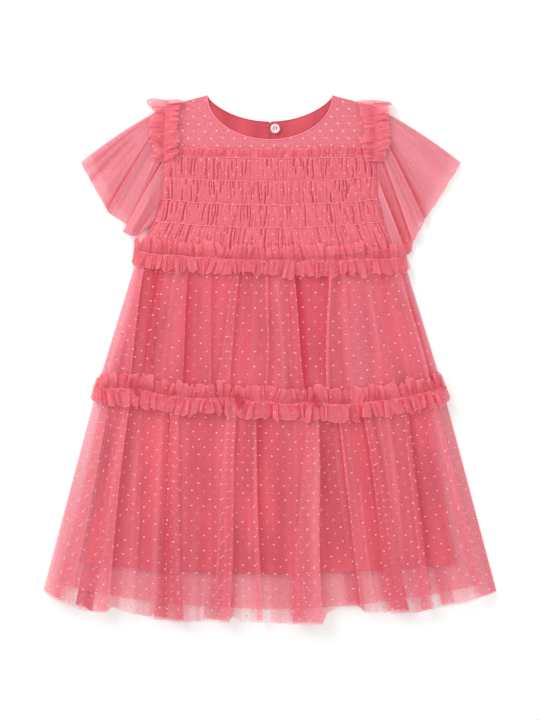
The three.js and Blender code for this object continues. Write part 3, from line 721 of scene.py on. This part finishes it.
# A style has the folds of a frill: the width of the flatter lobes between groups of creases, how many
# creases a group may have, and their overlap and height. It may also say how far the free edge leans and
# rises, the columns' pitch, how much deeper the last end is, and the share of the folds' painted shade and
# highlight.
WAIST_STYLE = {"folds": ((1.0, 7), 5, (2.0, 4.2), (1.0, 2.6)), "lean": 4.0}
MIDDLE_STYLE = {"folds": ((3, 17), 5, (2.2, 5.5), (1.4, 3.4)), "lean": 4.0}
SHOULDER_STYLE = {
    "folds": ((1.5, 6), 3, (2.0, 3.6), (1.0, 2.2)), "rise": 2.6, "pitch": 0.6, "flare": 0.45, "toned": 0.6,
}
HEADING_STYLE = {
    "folds": ((1.0, 6), 4, (1.4, 2.6), (0.4, 1.1)), "rise": 1.0, "pitch": 0.6, "lean": 1.5, "toned": 0.45,
}
# Hollows of the ruffles, each drawn as a dark patch of painted shade: the place across, the distance below
# the stitches, the size, and the height.
WAIST_POCKETS = ((55, 15.0, (5, 8), 12.4), (78, 17.5, (6, 8), 12.2), (-56, 13.0, (4, 6), 12.4))
MIDDLE_POCKETS = ((46, -4.5, (6, 17), 14.8), (-31, -4.5, (6.5, 21), 14.8), (-133, -2.5, (4, 12), 14.6))


def frill_folds(length, seed, lobe, cluster, over, height):
    """Uneven small folds along a frill: groups of close creases between flatter lobes."""
    folds, at, k = [], 2.0 + lobe[0] * chance(seed), seed * 50
    while at < length - 4:
        for _ in range(1 + int(chance(k + 0.2) * cluster)):
            if at > length - 4:
                break
            side = 1 if chance(k + 0.4) < 0.5 else -1
            wide = lerp(over[0], over[1], chance(k + 0.6))
            shift = 3.0 * (chance(k + 0.8) - 0.5)
            tall = lerp(height[0], height[1], chance(k + 0.9))
            folds.append((at, at + shift, side, wide * 0.5, wide, tall))
            at += wide + lerp(1.2, 2.8, chance(k + 0.1))
            k += 1
        at += lerp(lobe[0], lobe[1], chance(k + 0.5) ** 1.3)
        k += 1
    return folds


def frill(path, outward, depth, seed, folds, rise=2.4, pitch=0.7, lean=2.5, flare=0.0):
    """The grid of one free edge of a gathered strip, from its stitched line outward."""
    run = run_of(path[:, :2])
    length = run[-1]
    span = (0, length)
    placed = frill_folds(length, seed, *folds)
    seam, hem, lift, under, pressed = pleat_track(span, span, placed, pitch, 3.0, 1.1, 0.9, 1.1)
    s = np.concatenate([[0], np.cumsum(np.abs(np.diff(hem)))])
    ends = smooth(np.minimum(seam, length - seam) / 6 + 0.35)
    uneven = 1 + 0.17 * wander(s, 11.0, seed) + 0.12 * wander(s, 3.4, seed + 1) - 0.24 * under
    uneven = uneven + flare * np.exp(-(((length - seam) / 7) ** 2))
    top = read_along(path, run, seam)
    low = read_along(path, run, hem)
    along = unit(read_along(np.gradient(path[:, :2], axis=0), run, hem))
    low[:, :2] += read_along(outward, run, hem) * (depth * uneven * (0.6 + 0.4 * ends))[:, None]
    low[:, :2] += along * (lean * wander(s, 24.0, seed + 2) + 1.2 * wander(s, 6.0, seed + 3))[:, None]
    v = np.append((1 - CUT_EDGE) * np.linspace(0, 1, FRILL_ROWS - 1) ** 0.9, 1.0)[:, None]
    places = lerp(top, low, v[..., None])
    wave = 0.7 * wander(s, 3.0, seed + 4) + 1.1 * wander(s, 8.0, seed + 5)
    gathers = 0.35 * wander(s, 1.5, seed + 6) * (1 - v) ** 2
    places[..., 2] += (rise * np.sin(v * 1.9) + (lift + wave) * smooth(v / 0.55) + gathers) * ends
    # Painted shade at the roots of the creases by the stitches, and painted shade and light that follow the
    # frill's height, deeper where it lies lower and paler where it rises; with its folds' painted shade and
    # highlight.
    root = np.minimum(wander(s, 1.7, seed + 8) + 0.1, 0.0) * np.exp(-((v / 0.5) ** 2))
    lines = np.where(pressed > 0, 0.5, 0.9) * pressed * smooth((v + 0.15) / 0.4)
    tone = np.clip(lines + 1.1 * root + 0.12 * wave * v, -1, 0.7)
    return places, points(s, depth * v + 40 * seed), tone


def frill_grids(path, outward, depth, seed, flip, toned=1.0, **style):
    """The grids of a frill and of its cut edge, seen from its other side if "flip".

    They have the share "toned" of the painted shade and highlight of their folds.
    """
    parts = frill(path, outward, depth, seed, **style)
    grids = []
    for rows, number in ((np.s_[:-1], 0), (np.s_[-2:], 2)):
        places, flat, pressed = (part[rows][::-1] if flip else part[rows] for part in parts)
        grids.append((places, flat, number, False, toned * pressed))
    return grids


def stitched_band(path, outward, width, seed, height):
    """The gathered middle of a strip, puckered by its stitches."""
    run = run_of(path[:, :2])
    c = np.linspace(0, run[-1], int(run[-1] / 0.55))
    w = np.linspace(-1, 1, 6)[:, None]
    away = read_along(outward, run, c)
    places = np.repeat(read_along(path, run, c)[None], len(w), 0)
    places[..., :2] += away * (w * width * (1 + 0.5 * wander(c, 5.0, seed)))[..., None]
    pucker = 0.35 * wander(c, 0.9, seed + 1) + 0.25 * wander(c, 2.6, seed + 2)
    places[..., 2] += height * (1 - w * w) + pucker * (0.4 + 0.6 * (1 - w * w))
    if run[-1] > 100:
        places[..., :2] += 0.5 * wander(c, 7.0, seed + 3)[:, None] * away
    # Painted shade where the band puckers in.
    tone = np.repeat(np.clip(1.6 * pucker, -0.8, 0.1)[None], len(w), 0)
    return places, points(2 * c, w * width + 7), tone


# How far the ruffles' stitched lines rise above their seams' arcs, at places across them.
LINE_SWAY = {
    WAIST: ((-131, -87, -45, 0, 41, 80, 108, 133), (-3, -2, -2, -3, -4, -6, -7, -8)),
    MIDDLE_SEAM: ((-172, -134, -91, -44, -27, 15, 41, 63, 133, 172), (-5, 4, 3, 6, 5, 0, 2, -1, -3, -5)),
}


def skirt_line(down, half, heights):
    """A ruffle's stitched line across the skirt's front, and its way down the cloth."""
    x = np.linspace(-half, half, 400)
    plan = on_skirt(x, down)
    plan[:, 1] += blurred(np.interp(x, *LINE_SWAY[down]), 7)
    plan[:, 1] += 0.9 * wander(x, 17.0, down) + 0.4 * wander(x, 6.0, down + 1)
    inward = half - np.abs(x)
    z = rolled(inward, *heights) + 0.5 * wander(x, 30.0, down) * smooth(inward / 20)
    along = unit(np.gradient(plan, axis=0))
    return np.concatenate([plan, z[:, None]], 1), points(along[:, 1], -along[:, 0])


def ruffle_piece(node, grids, net="frill"):
    return cloth_piece(node, grids, (net, "band", "edge", "shade"))


def shaded_pocket(x, down, lower, size, z):
    """A dark patch of painted shade in a small hollow between two folds of a ruffle, wide in the middle and
    pointed at its ends.
    """
    v = np.linspace(0, 1, 9)[:, None]
    wide = np.minimum(v / 0.6, (1 - v) / 0.4) if lower < 0 else np.minimum(v / 0.25, (1 - v) / 0.75)
    u = np.linspace(-1, 1, 7)
    across, up = on_skirt(np.array([float(x)]), down)[0]
    across = across + 0.5 * size[0] * wide * u + 1.2 * (v - 0.5)
    up = up - lower - size[1] * (v - 0.5)
    places = points(across, up, z - 0.5 * (1 - u * u) * np.sin(v * math.pi))
    return places, places[..., :2], 3, False


def skirt_frills(path, outward, seeds, **style):
    """The upper and the lower edge of a strip round the skirt."""
    grids = frill_grids(path, -outward, FRILL_DEPTH, seeds[0], True, **style)
    return grids + frill_grids(path, outward, FRILL_DEPTH, seeds[1], False, **style)


def front_ruffle(node, down, half, seed, band, pockets, toned, **style):
    """The strip on the front, with its stitched middle and its hollows of painted shade."""
    path, outward = skirt_line(down, half, (11.0, 3.0))
    grids = skirt_frills(path, outward, (seed, seed + 7), toned=toned, **style)
    places, flat, tone = stitched_band(path + (0, 0, 0.4), outward, band[0], seed + 20, band[1])
    grids += [shaded_pocket(x, down, lower, size, z) for x, lower, size, z in pockets]
    return ruffle_piece(node, grids + [(places, flat, 1, False, tone)])


def back_ruffle(node, down, half, seed, folds, lean):
    """The same strip on the back, pressed flat under the dress."""
    path, outward = skirt_line(down, half, (0.45, 0.45))
    low = (*folds[:-1], (0.2, 0.45))
    grids = skirt_frills(path, outward, (seed, seed + 9), folds=low, rise=0.1, lean=lean)
    for grid in grids:
        grid[0][..., 2] = np.clip(grid[0][..., 2], 0.15, 1.3)
    return ruffle_piece(node, grids)


def shoulder_ruffle(node, side, seed):
    """The strip on an armhole seam, from the front of the armhole up over the shoulder fold."""
    down = np.linspace(66, 4.5, 160)
    x = side * (104.8 + 0.9 * wander(down, 14.0, seed))
    path = points(x, y_at(down), 6.2 - 3.5 * (1 - smooth((down - 3) / 9)))
    outward = np.tile([float(side), 0.0], (len(down), 1))
    grids = frill_grids(path, outward, 14.5, seed, side < 0, **SHOULDER_STYLE)
    grids += frill_grids(path, -outward, 12.5, seed + 5, side > 0, **SHOULDER_STYLE)
    middle = stitched_band(path + (0, 0, 0.3), outward, 0.8, seed + 11, 0.15)
    places, flat, tone = (part[::-1] if side < 0 else part for part in middle)
    return ruffle_piece(node, grids + [(places, flat, 0, False, tone)], "frill_dense")


# The bodice

SHIRRED_ROWS = {"down": (53, 63, 86, 110, 133, 163), "rise": (2, 2, 4, 6, 7, 8)}
STITCH_ROWS = SHIRRED_ROWS["down"][1:-1]
PUFFS = (0.25, 1.7, 1.8, 1.8, 1.7)  # how far the cloth puffs up between two rows
INSIDE = {"down": (53, 112, 163), "plateau": (2.95, 2.95, 7.5), "edge": (2.95, 2.95, 2.75)}
SHIRRED_FULLNESS = 1.45


def shirred_outline(u, down):
    """Places of the shirred panel's front, without its relief, and the height of the cloth under it."""
    rise = read(SHIRRED_ROWS, "rise", down)
    half = np.where(u < 0, bodice_half(down - rise, -1), bodice_half(down - rise, 1))
    x = u * half
    under = rolled(half - np.abs(x), read(INSIDE, "plateau", down), read(INSIDE, "edge", down))
    return x, y_at(down) + rise * u * u, under


def puckers(x, v, puff, seed):
    """Uneven narrow valleys down one band between two lines of stitches, and the share of painted shade in
    each valley and of painted highlight on its ridge.
    """
    z = puff * np.clip(np.sin(v * math.pi), 0, 1)[:, None] ** 0.55 * (0.8 + 0.2 * wander(x, 9.0, seed))
    pressed = np.zeros(z.shape)
    at, k = x[0] + 1.0, seed * 200
    while at < x[-1]:
        wide = lerp(0.42, 0.95, chance(k + 0.1))
        deep = lerp(0.4, 1.9, chance(k + 0.3) ** 1.3)
        drift = 2.4 * (chance(k + 0.7) - 0.5)
        begin = -0.1 if chance(k + 0.5) < 0.6 else 0.5 * chance(k + 0.55)
        length = lerp(0.4, 1.3, chance(k + 0.9))
        near = np.abs(x - at) < 5
        bend = drift * v + 0.5 * np.sin(5 * v + k)
        across = (x[near][None] - at - bend[:, None]) / wide
        along = (smooth((v - begin) / 0.15) * smooth((begin + length - v) / 0.2))[:, None]
        hollow, ridge = np.exp(-across * across) * along, np.exp(-((across - 1.9) ** 2)) * along
        z[:, near] += deep * (0.4 * ridge - hollow)
        # Painted shade in the valley and a painted highlight on the ridge beside it.
        pressed[:, near] += deep * (0.2 * ridge - 0.42 * hollow)
        at += lerp(1.5, 5.0, chance(k + 0.2) ** 1.5)
        k += 1
    return z, np.clip(pressed, -0.9, 0.6)


def shirred_panel():
    u = np.linspace(-1, 1, 400)
    bands = list(zip(SHIRRED_ROWS["down"], SHIRRED_ROWS["down"][1:], PUFFS))
    rows = [np.linspace(a, b, max(8, int((b - a) / 1.25)), endpoint=False) for a, b, _ in bands]
    v = np.concatenate([*rows, [162.65]])
    down = np.array(np.broadcast_to(v[:, None], (len(v), len(u))))
    x, y, under = (np.array(np.broadcast_to(part, down.shape)) for part in shirred_outline(u[None], down))
    relief, pressed = np.zeros(down.shape), np.zeros(down.shape)
    for k, (start, end, puff) in enumerate(bands):
        here = (v >= start) & (v <= end)
        share = (v[here] - start) / (end - start)
        relief[here], pressed[here] = puckers(x[here].mean(0), share, puff, k + 2)
    nearest = np.min([np.abs(v - row) for row in STITCH_ROWS], axis=0)[:, None]
    relief += 0.3 * wander(x, 1.3, 5) * np.exp(-((nearest / 1.6) ** 2))
    calm = smooth((1 - np.abs(u)) / 0.03)
    front = points(x, y, under + 1.0 + np.maximum(relief, -0.6) * calm)
    grids = shell_grids(front, points(x, y, under), points(x * SHIRRED_FULLNESS, down), pressed)
    return cloth_piece("shirred_panel", grids, ("shirred", "lining"), weld=True)


def stitch_lines():
    """The lines of gathering stitches over the shirred panel, pinched and a little slack."""
    grids = []
    for k, row in enumerate(STITCH_ROWS):
        u = np.linspace(-0.985, 0.985, 520)
        x, y, under = shirred_outline(u, float(row))
        y = y + 0.5 * wander(x, 8.0, k) + 0.25 * wander(x, 2.5, k + 9)
        grids.append(cord_grid(points(x, y, under + 1.55 + 0.25 * wander(x, 1.7, k + 4)), 0.45))
    return piece_from("gathering_stitches", grids, ["thread"])


def heading_frill():
    """The free edge above the first line of gathering stitches."""
    u = np.linspace(-0.975, 0.975, 300)
    x, y, under = shirred_outline(u, 62.6)
    outward = np.tile([0.0, 1.0], (len(u), 1))
    grids = frill_grids(points(x, y, under + 1.2), outward, 9.5, 31, True, **HEADING_STYLE)
    return piece_from("heading_frill", grids, ("frill", "band", "edge"))


def neck_places(count):
    """Places across the neckline, closer together towards its ends."""
    return NECK_HALF * np.sin(np.linspace(-math.pi / 2, math.pi / 2, count))


def yoke():
    shoulder_half, shoulder_down = SHOULDER
    even = np.linspace(-shoulder_half, shoulder_half, 150)
    x_up = np.unique(np.concatenate([even, neck_places(90)]))
    slope = shoulder_down * np.clip((np.abs(x_up) - NECK_HALF) / (shoulder_half - NECK_HALF), 0, 1)
    upper = np.where(np.abs(x_up) <= NECK_HALF, neck_down(x_up, FRONT_NECK), slope)
    v = np.linspace(0, 1, 34)[:, None]
    down = lerp(upper, YOKE_END, v)
    soft = 0.35 * wander(x_up, 24.0, 71) * np.sin(v * math.pi) + 0.2 * wander(x_up, 9.0, 72) * v
    front = points(x_up, y_at(down), level(1) + 0.5 + 0.25 * np.sin(v * math.pi) + soft)
    grids = shell_grids(front, front - (0, 0, 0.8), points(x_up, down))
    return cloth_piece("front_yoke", grids, ("backed", "lining"), weld=True)


def neck_binding():
    """The rolled edges of the neckline, front and back."""
    x = neck_places(160)
    grids = [cord_grid(points(x, y_at(neck_down(x, FRONT_NECK)) + 0.2, level(1) + 0.45), 0.75)]
    for side in (-1, 1):
        x = side * np.linspace(1.4, NECK_HALF - 0.4, 90)
        grids.append(cord_grid(points(x, y_at(neck_down(x, BACK_NECK)) - 0.3, 0.75), 0.45, number=1))
    return piece_from("neck_binding", grids, ("thread", "lining"))


def back_bodice(side):
    """Half of the bodice's back: the plain lining faces up, and the dotted cloth faces the surface."""
    near = 0.3
    neck_x = np.linspace(near + 1.1, NECK_HALF, 60)
    shoulder_x = np.linspace(NECK_HALF, SHOULDER[0], 32)[1:]
    upper_x = np.concatenate([[near, near + 0.5], neck_x, shoulder_x])
    slope = SHOULDER[1] * (upper_x - NECK_HALF) / (SHOULDER[0] - NECK_HALF)
    upper_down = np.where(upper_x <= NECK_HALF, neck_down(upper_x, BACK_NECK), slope)
    upper_down[:2] += (1.2, 0.5)
    u = np.linspace(0, 1, len(upper_x))
    at_sixty = near + u * (bodice_half(60.0, side) - near)
    rows = []
    for t in np.linspace(0, 1, 8)[:-1]:
        rows.append(points(side * lerp(upper_x, at_sixty, t), y_at(lerp(upper_down, 60.0, t))))
    for down in np.linspace(60, 162.65, 34):
        rise = read(BACK_RISE, "rise", down)
        x = near + u * (bodice_half(down - rise, side) - near)
        rows.append(points(side * x, y_at(down) + rise * u * u))
    plan = np.array(rows)
    depth = LENGTH / 2 - plan[..., 1]
    soft = 0.12 * wander(plan[..., 0], 26.0, 81 + side) + 0.1 * wander(depth, 18.0, 83 + side)
    inside = np.concatenate([plan, (0.95 + LAYER * smooth((depth - 130) / 10) + soft)[..., None]], -1)
    if side < 0:
        inside, plan = inside[:, ::-1], plan[:, ::-1]
    grids = shell_grids(inside, inside - (0, 0, 0.75), plan)
    node = "back_bodice_" + ("left" if side < 0 else "right")
    return cloth_piece(node, grids, ("lining", "backed"), weld=True)


# Sleeves

# Lines down each sleeve's front, from the shoulder fold to the underarm: where one leaves the armhole, and
# where it meets the hem.
SLEEVE_LINES = {
    "left": {
        "start": (12, 24, 36, 46, 54, 64, 76, 88, 104, 120, 130),
        "x": (190, 181.5, 174, 167, 162, 153, 143, 147, 141, 134, 125),
        "down": (67, 82, 96, 107, 117, 123, 129, 136.5, 140, 141, 135),
    },
    "right": {
        "start": (12, 22, 36, 50, 60, 72, 88, 100, 108, 116, 124),
        "x": (191, 184, 176, 165, 154.5, 153.5, 148.5, 142.5, 142, 135.5, 124),
        "down": (67, 79, 92, 110, 124, 129, 138, 148, 156, 160.5, 161),
    },
}
# Folds of the sleeves, as for the tiers, with places counted in lines.
SLEEVE_FOLDS = {
    "left": ((0.8, 3.8, -1, 0.3, 0.5, 2.6), (5.0, 7.0, -1, 0.5, 1.0, 3.2), (8.2, 9.0, -1, 0.2, 0.5, 1.8)),
    "right": ((1.4, 4.05, -1, 0.35, 0.9, 3.6), (2.7, 7.0, 1, 0.3, 0.8, 3.0), (5.6, 8.7, -1, 0.2, 0.5, 1.8)),
}
SLEEVE_CROWN = 3.0
SLEEVE_LENGTH = 90.0


def sleeve_sheet(name, seam, hem, reach, seed, base, lift, rows, calm=1.0):
    """A grid of places on a sleeve between its armhole and its hem, at columns counted in lines."""
    side = -1 if name == "left" else 1
    table = SLEEVE_LINES[name]
    lines = np.arange(len(table["start"]))
    start = np.interp(seam, lines, table["start"])
    top = points(side * (bodice_half(start, side) + 0.2), y_at(start))
    low = points(side * np.interp(hem, lines, table["x"]), y_at(np.interp(hem, lines, table["down"])))
    s = run_of(lerp(top, low, 0.7))
    v = np.linspace(0, 1, rows)[:, None]
    r = v * reach
    places = np.empty((rows, len(s), 3))
    places[..., :2] = lerp(top, low, r[..., None])
    places[..., 1] += SLEEVE_CROWN * 4 * r * (1 - r) * (1 - np.clip(seam / lines[-1], 0, 1))
    fine = creases(s, v[:, 0], int(s[-1] / 6), seed, width=(0.9, 3.4), height=(0.15, 0.9))
    fine = fine + 1.0 * wander(s, 17.0, seed + 1) * v + 0.6 * wander(s, 2.4, seed + 2) * np.exp(-v * 5)
    ends = np.minimum(seam, lines[-1] - seam)
    places[-1, :, 0] += side * 0.7 * wander(s, 5.0, seed + 3)
    places[..., 2] = base(ends, v) + lift * smooth(v / 0.5) + calm * fine * smooth(ends / 0.3)
    # The tone: painted shade in the creases' hollows and painted light on their crests.
    return places, points(s, SLEEVE_LENGTH * r), 0.7 * calm * np.clip(fine, -1, 0.8)


def sleeve(name, inner, seed):
    """One layer of a sleeve: its front and its back, which meet along the shoulder fold and underarm."""
    side = -1 if name == "left" else 1
    last = len(SLEEVE_LINES[name]["start"]) - 1
    reach, trim, calm = (0.88, 0.05, 0.35) if inner else (1.0, 0.0, 1.0)
    front_z, back_z = (level(2), level(1)) if inner else (level(3), level(0))
    near_z = front_z if inner else 2.9
    fold_z = (front_z + back_z) / 2
    folds = () if inner else SLEEVE_FOLDS[name]
    span = (trim, last - trim)
    seam, hem, lift, _, pressed = pleat_track(span, span, folds, 0.06, 0.7, 1.3, 0.1, 0.55)

    def turned(ends):
        return np.sqrt(1 - (1 - np.clip((ends - trim) / 0.35, 0, 1)) ** 2)

    def front(ends, v):
        return lerp(fold_z, lerp(near_z, front_z, smooth(v / 0.12)), turned(ends))

    def back(ends, v):
        return lerp(fold_z, back_z, turned(ends)) + 0 * v

    over = sleeve_sheet(name, seam, hem, reach, seed, front, lift, 44, calm)
    plain = np.linspace(trim, last - trim, 110)
    below = sleeve_sheet(name, plain, plain, reach, seed + 5, back, 0 * plain, 30, 0.12)
    over[0][..., 2] = np.maximum(over[0][..., 2], fold_z)
    below[0][..., 2] = np.maximum(below[0][..., 2], 0.2)
    # Painted shade in and beside the folds, and a painted highlight on their edges.
    over[2][...] = np.clip(over[2] + np.where(pressed > 0, 0.5, 0.6) * pressed, -0.75, 0.7)
    if side > 0:
        over = [part[:, ::-1] for part in over]
    else:
        below = [part[:, ::-1] for part in below]
    node = f"sleeve_{name}" + ("_inner" if inner else "")
    slot, look = ("plain_tulle", "tulle_inner") if inner else ("dotted_tulle", "tulle_sleeve")
    grids = [(places, flat, 0, False, tone) for places, flat, tone in (over, below)]
    return cloth_piece(node, grids, [look])


# The fastening

BUTTON = {"x": 5.2, "down": 33.1, "z": 1.35, "radius": 4.8, "height": 2.2, "well": 2.9, "deep": 0.7}
HOLE = {"radius": 0.55, "spread": 1.2}
LOOP = {"radius": 0.45, "reach": 5.7, "end": -2.4, "gape": 1.6, "z": 1.95}


def turned_grid(profile, count):
    """A grid turned round an upright axis from rows of radius and height."""
    angle = np.linspace(0, 2 * math.pi, count, endpoint=False)
    profile = np.array(profile)
    return points(profile[:, :1] * np.cos(angle), profile[:, :1] * np.sin(angle), profile[:, 1:])


def button_piece():
    """A round button with a raised rim, a well, four holes drawn as dark disks of painted shade, and the
    thread that holds it.
    """
    radius, height, well = BUTTON["radius"], BUTTON["height"], BUTTON["well"]
    floor_z = height - BUTTON["deep"]
    profile = [
        (0.02, 0), (radius - 0.7, 0), (radius - 0.2, 0.25), (radius, 0.8), (radius - 0.05, height - 0.7),
        (radius - 0.3, height - 0.2), (radius - 0.9, height), (well + 0.5, height - 0.08),
        (well + 0.1, height - 0.35), (well - 0.3, floor_z), (0.02, floor_z - 0.05),
    ]
    centre = np.array([BUTTON["x"], y_at(BUTTON["down"]), BUTTON["z"]])
    body = turned_grid(profile, 40)[:, ::-1]
    grids = [(body + centre, body[..., :2], 0, True)]
    spread = HOLE["spread"]
    for sx in (-1, 1):
        for sy in (-1, 1):
            r = HOLE["radius"]
            # Each hole is a dark disk: painted shade.
            hole = turned_grid([(r, 0.02), (0.8 * r, 0.06), (0.02, 0.05)], 12)
            hole = hole + (sx * spread, sy * spread, floor_z)
            grids.append((hole + centre, hole[..., :2], 1, True))
        t = np.linspace(-1, 1, 12)
        path = points(sx * spread, t * spread, floor_z + 0.12 + 0.25 * (1 - t * t))
        grids.append(cord_grid(path + centre, 0.28, number=1))
    return piece_from("button_pearly", grids, ("pearl", "dark_thread_and_shade"), "button")


def loop_piece():
    """The thread loop, from the left of the slit round the button and back."""
    x, y = BUTTON["x"], y_at(BUTTON["down"])
    angle = np.radians(np.linspace(140, -140, 40))
    bow = points(x + LOOP["reach"] * np.cos(angle), y + LOOP["reach"] * np.sin(angle))
    ends = [np.array([[LOOP["end"], y + way * LOOP["gape"]]]) for way in (1, -1)]
    plan = np.concatenate([ends[0], bow, ends[1]])
    run = run_of(plan)
    t = np.linspace(0, run[-1], 120)
    path = points(*(blurred(column, 3.0) for column in read_along(plan, run, t).T), LOOP["z"])
    grids = [cord_grid(path, LOOP["radius"], sides=8)]
    return piece_from("thread_loop", grids, ["thread_loop"], "button_loop")


def slit_edges():
    """The turned edges of the slit in the back, and the shade between them."""
    down = np.linspace(27.5, 100, 60)
    grids = [cord_grid(points(0.0, y_at(down), 0.6), 0.45, number=1)]
    grids += [cord_grid(points(side * 0.6, y_at(down), 0.9), 0.3) for side in (-1, 1)]
    return piece_from("slit_edges", grids, ("lining", "dark_thread_and_shade"))


# The looks and the dress

TULLE = (1.0, 0.235, 0.310)
# The sleeves' net is the same dotted tulle; its colour is a paler copy of the tulle's, painted lighter to
# stand in for the brighter light on the sleeves.
LIT_SLEEVE_TULLE = (1.0, 0.34, 0.41)
RUFFLE = (1.0, 0.215, 0.275)
MATERIALS = {
    "tulle": tulle_material("tulle_dotted", TULLE, 0.155),
    "tulle_upper": tulle_material("tulle_dotted_upper", TULLE, 0.26),
    "tulle_plain": tulle_material("tulle_plain", TULLE, 0.30, dots=0),
    "tulle_sleeve": tulle_material("tulle_sleeve", LIT_SLEEVE_TULLE, 0.46, dots=0.3),
    "tulle_inner": tulle_material("tulle_inner", LIT_SLEEVE_TULLE, 0.46, dots=0),
    "frill": tulle_material("tulle_frill", RUFFLE, 0.50, dots=0.6),
    "edge": backed_material("tulle_edge", (1.0, 0.235, 0.29), (0.9, 0.165, 0.215), dots=0),
    "band": backed_material("tulle_gathered", (0.90, 0.185, 0.235), (0.74, 0.10, 0.14), dots=0),
    "backed": backed_material("tulle_over_lining", (0.78, 0.215, 0.265), (0.63, 0.105, 0.14), missing=0.05),
    "shirred": backed_material("tulle_shirred", (0.82, 0.18, 0.23), (0.63, 0.085, 0.12)),
    "lining": lining_material("lining_voile", (0.53, 0.055, 0.078), (0.65, 0.082, 0.108)),
    "lining_skirt": lining_material("lining_voile_skirt", (0.53, 0.040, 0.062), (0.77, 0.092, 0.124)),
    "frill_dense": tulle_material("tulle_frill_dense", RUFFLE, 0.60, dots=0.5),
    # Painted shade: the dark tone of the patches in the ruffles' hollows.
    "shade": backed_material("tulle_painted_shade", (0.64, 0.06, 0.095), (0.50, 0.03, 0.06), dots=0),
    "thread": thread_material("thread_pale", (1.0, 0.27, 0.32)),
    "thread_loop": thread_material("thread_loop", (0.75, 0.12, 0.16)),
    # Dark thread, also used as painted shade in the button's holes and in the slit between its edges.
    "dark_thread_and_shade": thread_material("dark_thread_and_shade", (0.45, 0.05, 0.09)),
    "pearl": pearl_material(),
}

make_camera()
make_studio()
make_floor()

binding = neck_binding()
edges = slit_edges()
stitches = stitch_lines()
button_piece()
loop_piece()


yoke()
back_bodice(-1)
back_bodice(1)
shirred_panel()
heading_frill()
UPPER = (WAIST, MIDDLE_SEAM)
LOWER = (MIDDLE_SEAM, HEM)
tier("upper_tier_front", UPPER_FOLDS, *UPPER, 46, 0.8, 3, UPPER_BANDS)
tier("lower_tier_front", LOWER_FOLDS, *LOWER, 58, 0.85, 11, LOWER_BANDS)
tier("upper_tier_back", UPPER_BACK_FOLDS, *UPPER, 40, 1.2, 21, back=True)
tier("lower_tier_back", LOWER_BACK_FOLDS, *LOWER, 50, 1.2, 27, back=True)
NET = ("plain_tulle", "tulle_plain")
VOILE = ("lining", "lining_skirt")
inner_panel("underskirt_back", UNDERSKIRT, 2, 41, *NET, 2.0, 0.4)
inner_panel("lining_back", LINING, 3, 43, *VOILE, 2.6, 0.3)
inner_panel("lining_front", LINING, 4, 45, *VOILE, 2.0, 0.5)
inner_panel("underskirt_front", UNDERSKIRT, 5, 47, *NET, 1.6, 0.5)
ROUND_WAIST = (WAIST, WAIST_REACH)
ROUND_MIDDLE = (MIDDLE_SEAM, MIDDLE_REACH)
waist = (*ROUND_WAIST, 51, (0.8, 0.15), WAIST_POCKETS, 0.7)
front_ruffle("waist_ruffle_front", *waist, **WAIST_STYLE)
middle = (*ROUND_MIDDLE, 61, (1.0, 0.3), MIDDLE_POCKETS, 1.0)
front_ruffle("middle_ruffle_front", *middle, **MIDDLE_STYLE)
back_ruffle("waist_ruffle_back", *ROUND_WAIST, 71, **WAIST_STYLE)
back_ruffle("middle_ruffle_back", *ROUND_MIDDLE, 81, **MIDDLE_STYLE)
sleeve("left", False, 91)
sleeve("right", False, 101)
sleeve("left", True, 95)
sleeve("right", True, 105)
shoulder_ruffle("shoulder_ruffle_left", -1, 111)
shoulder_ruffle("shoulder_ruffle_right", 1, 121)
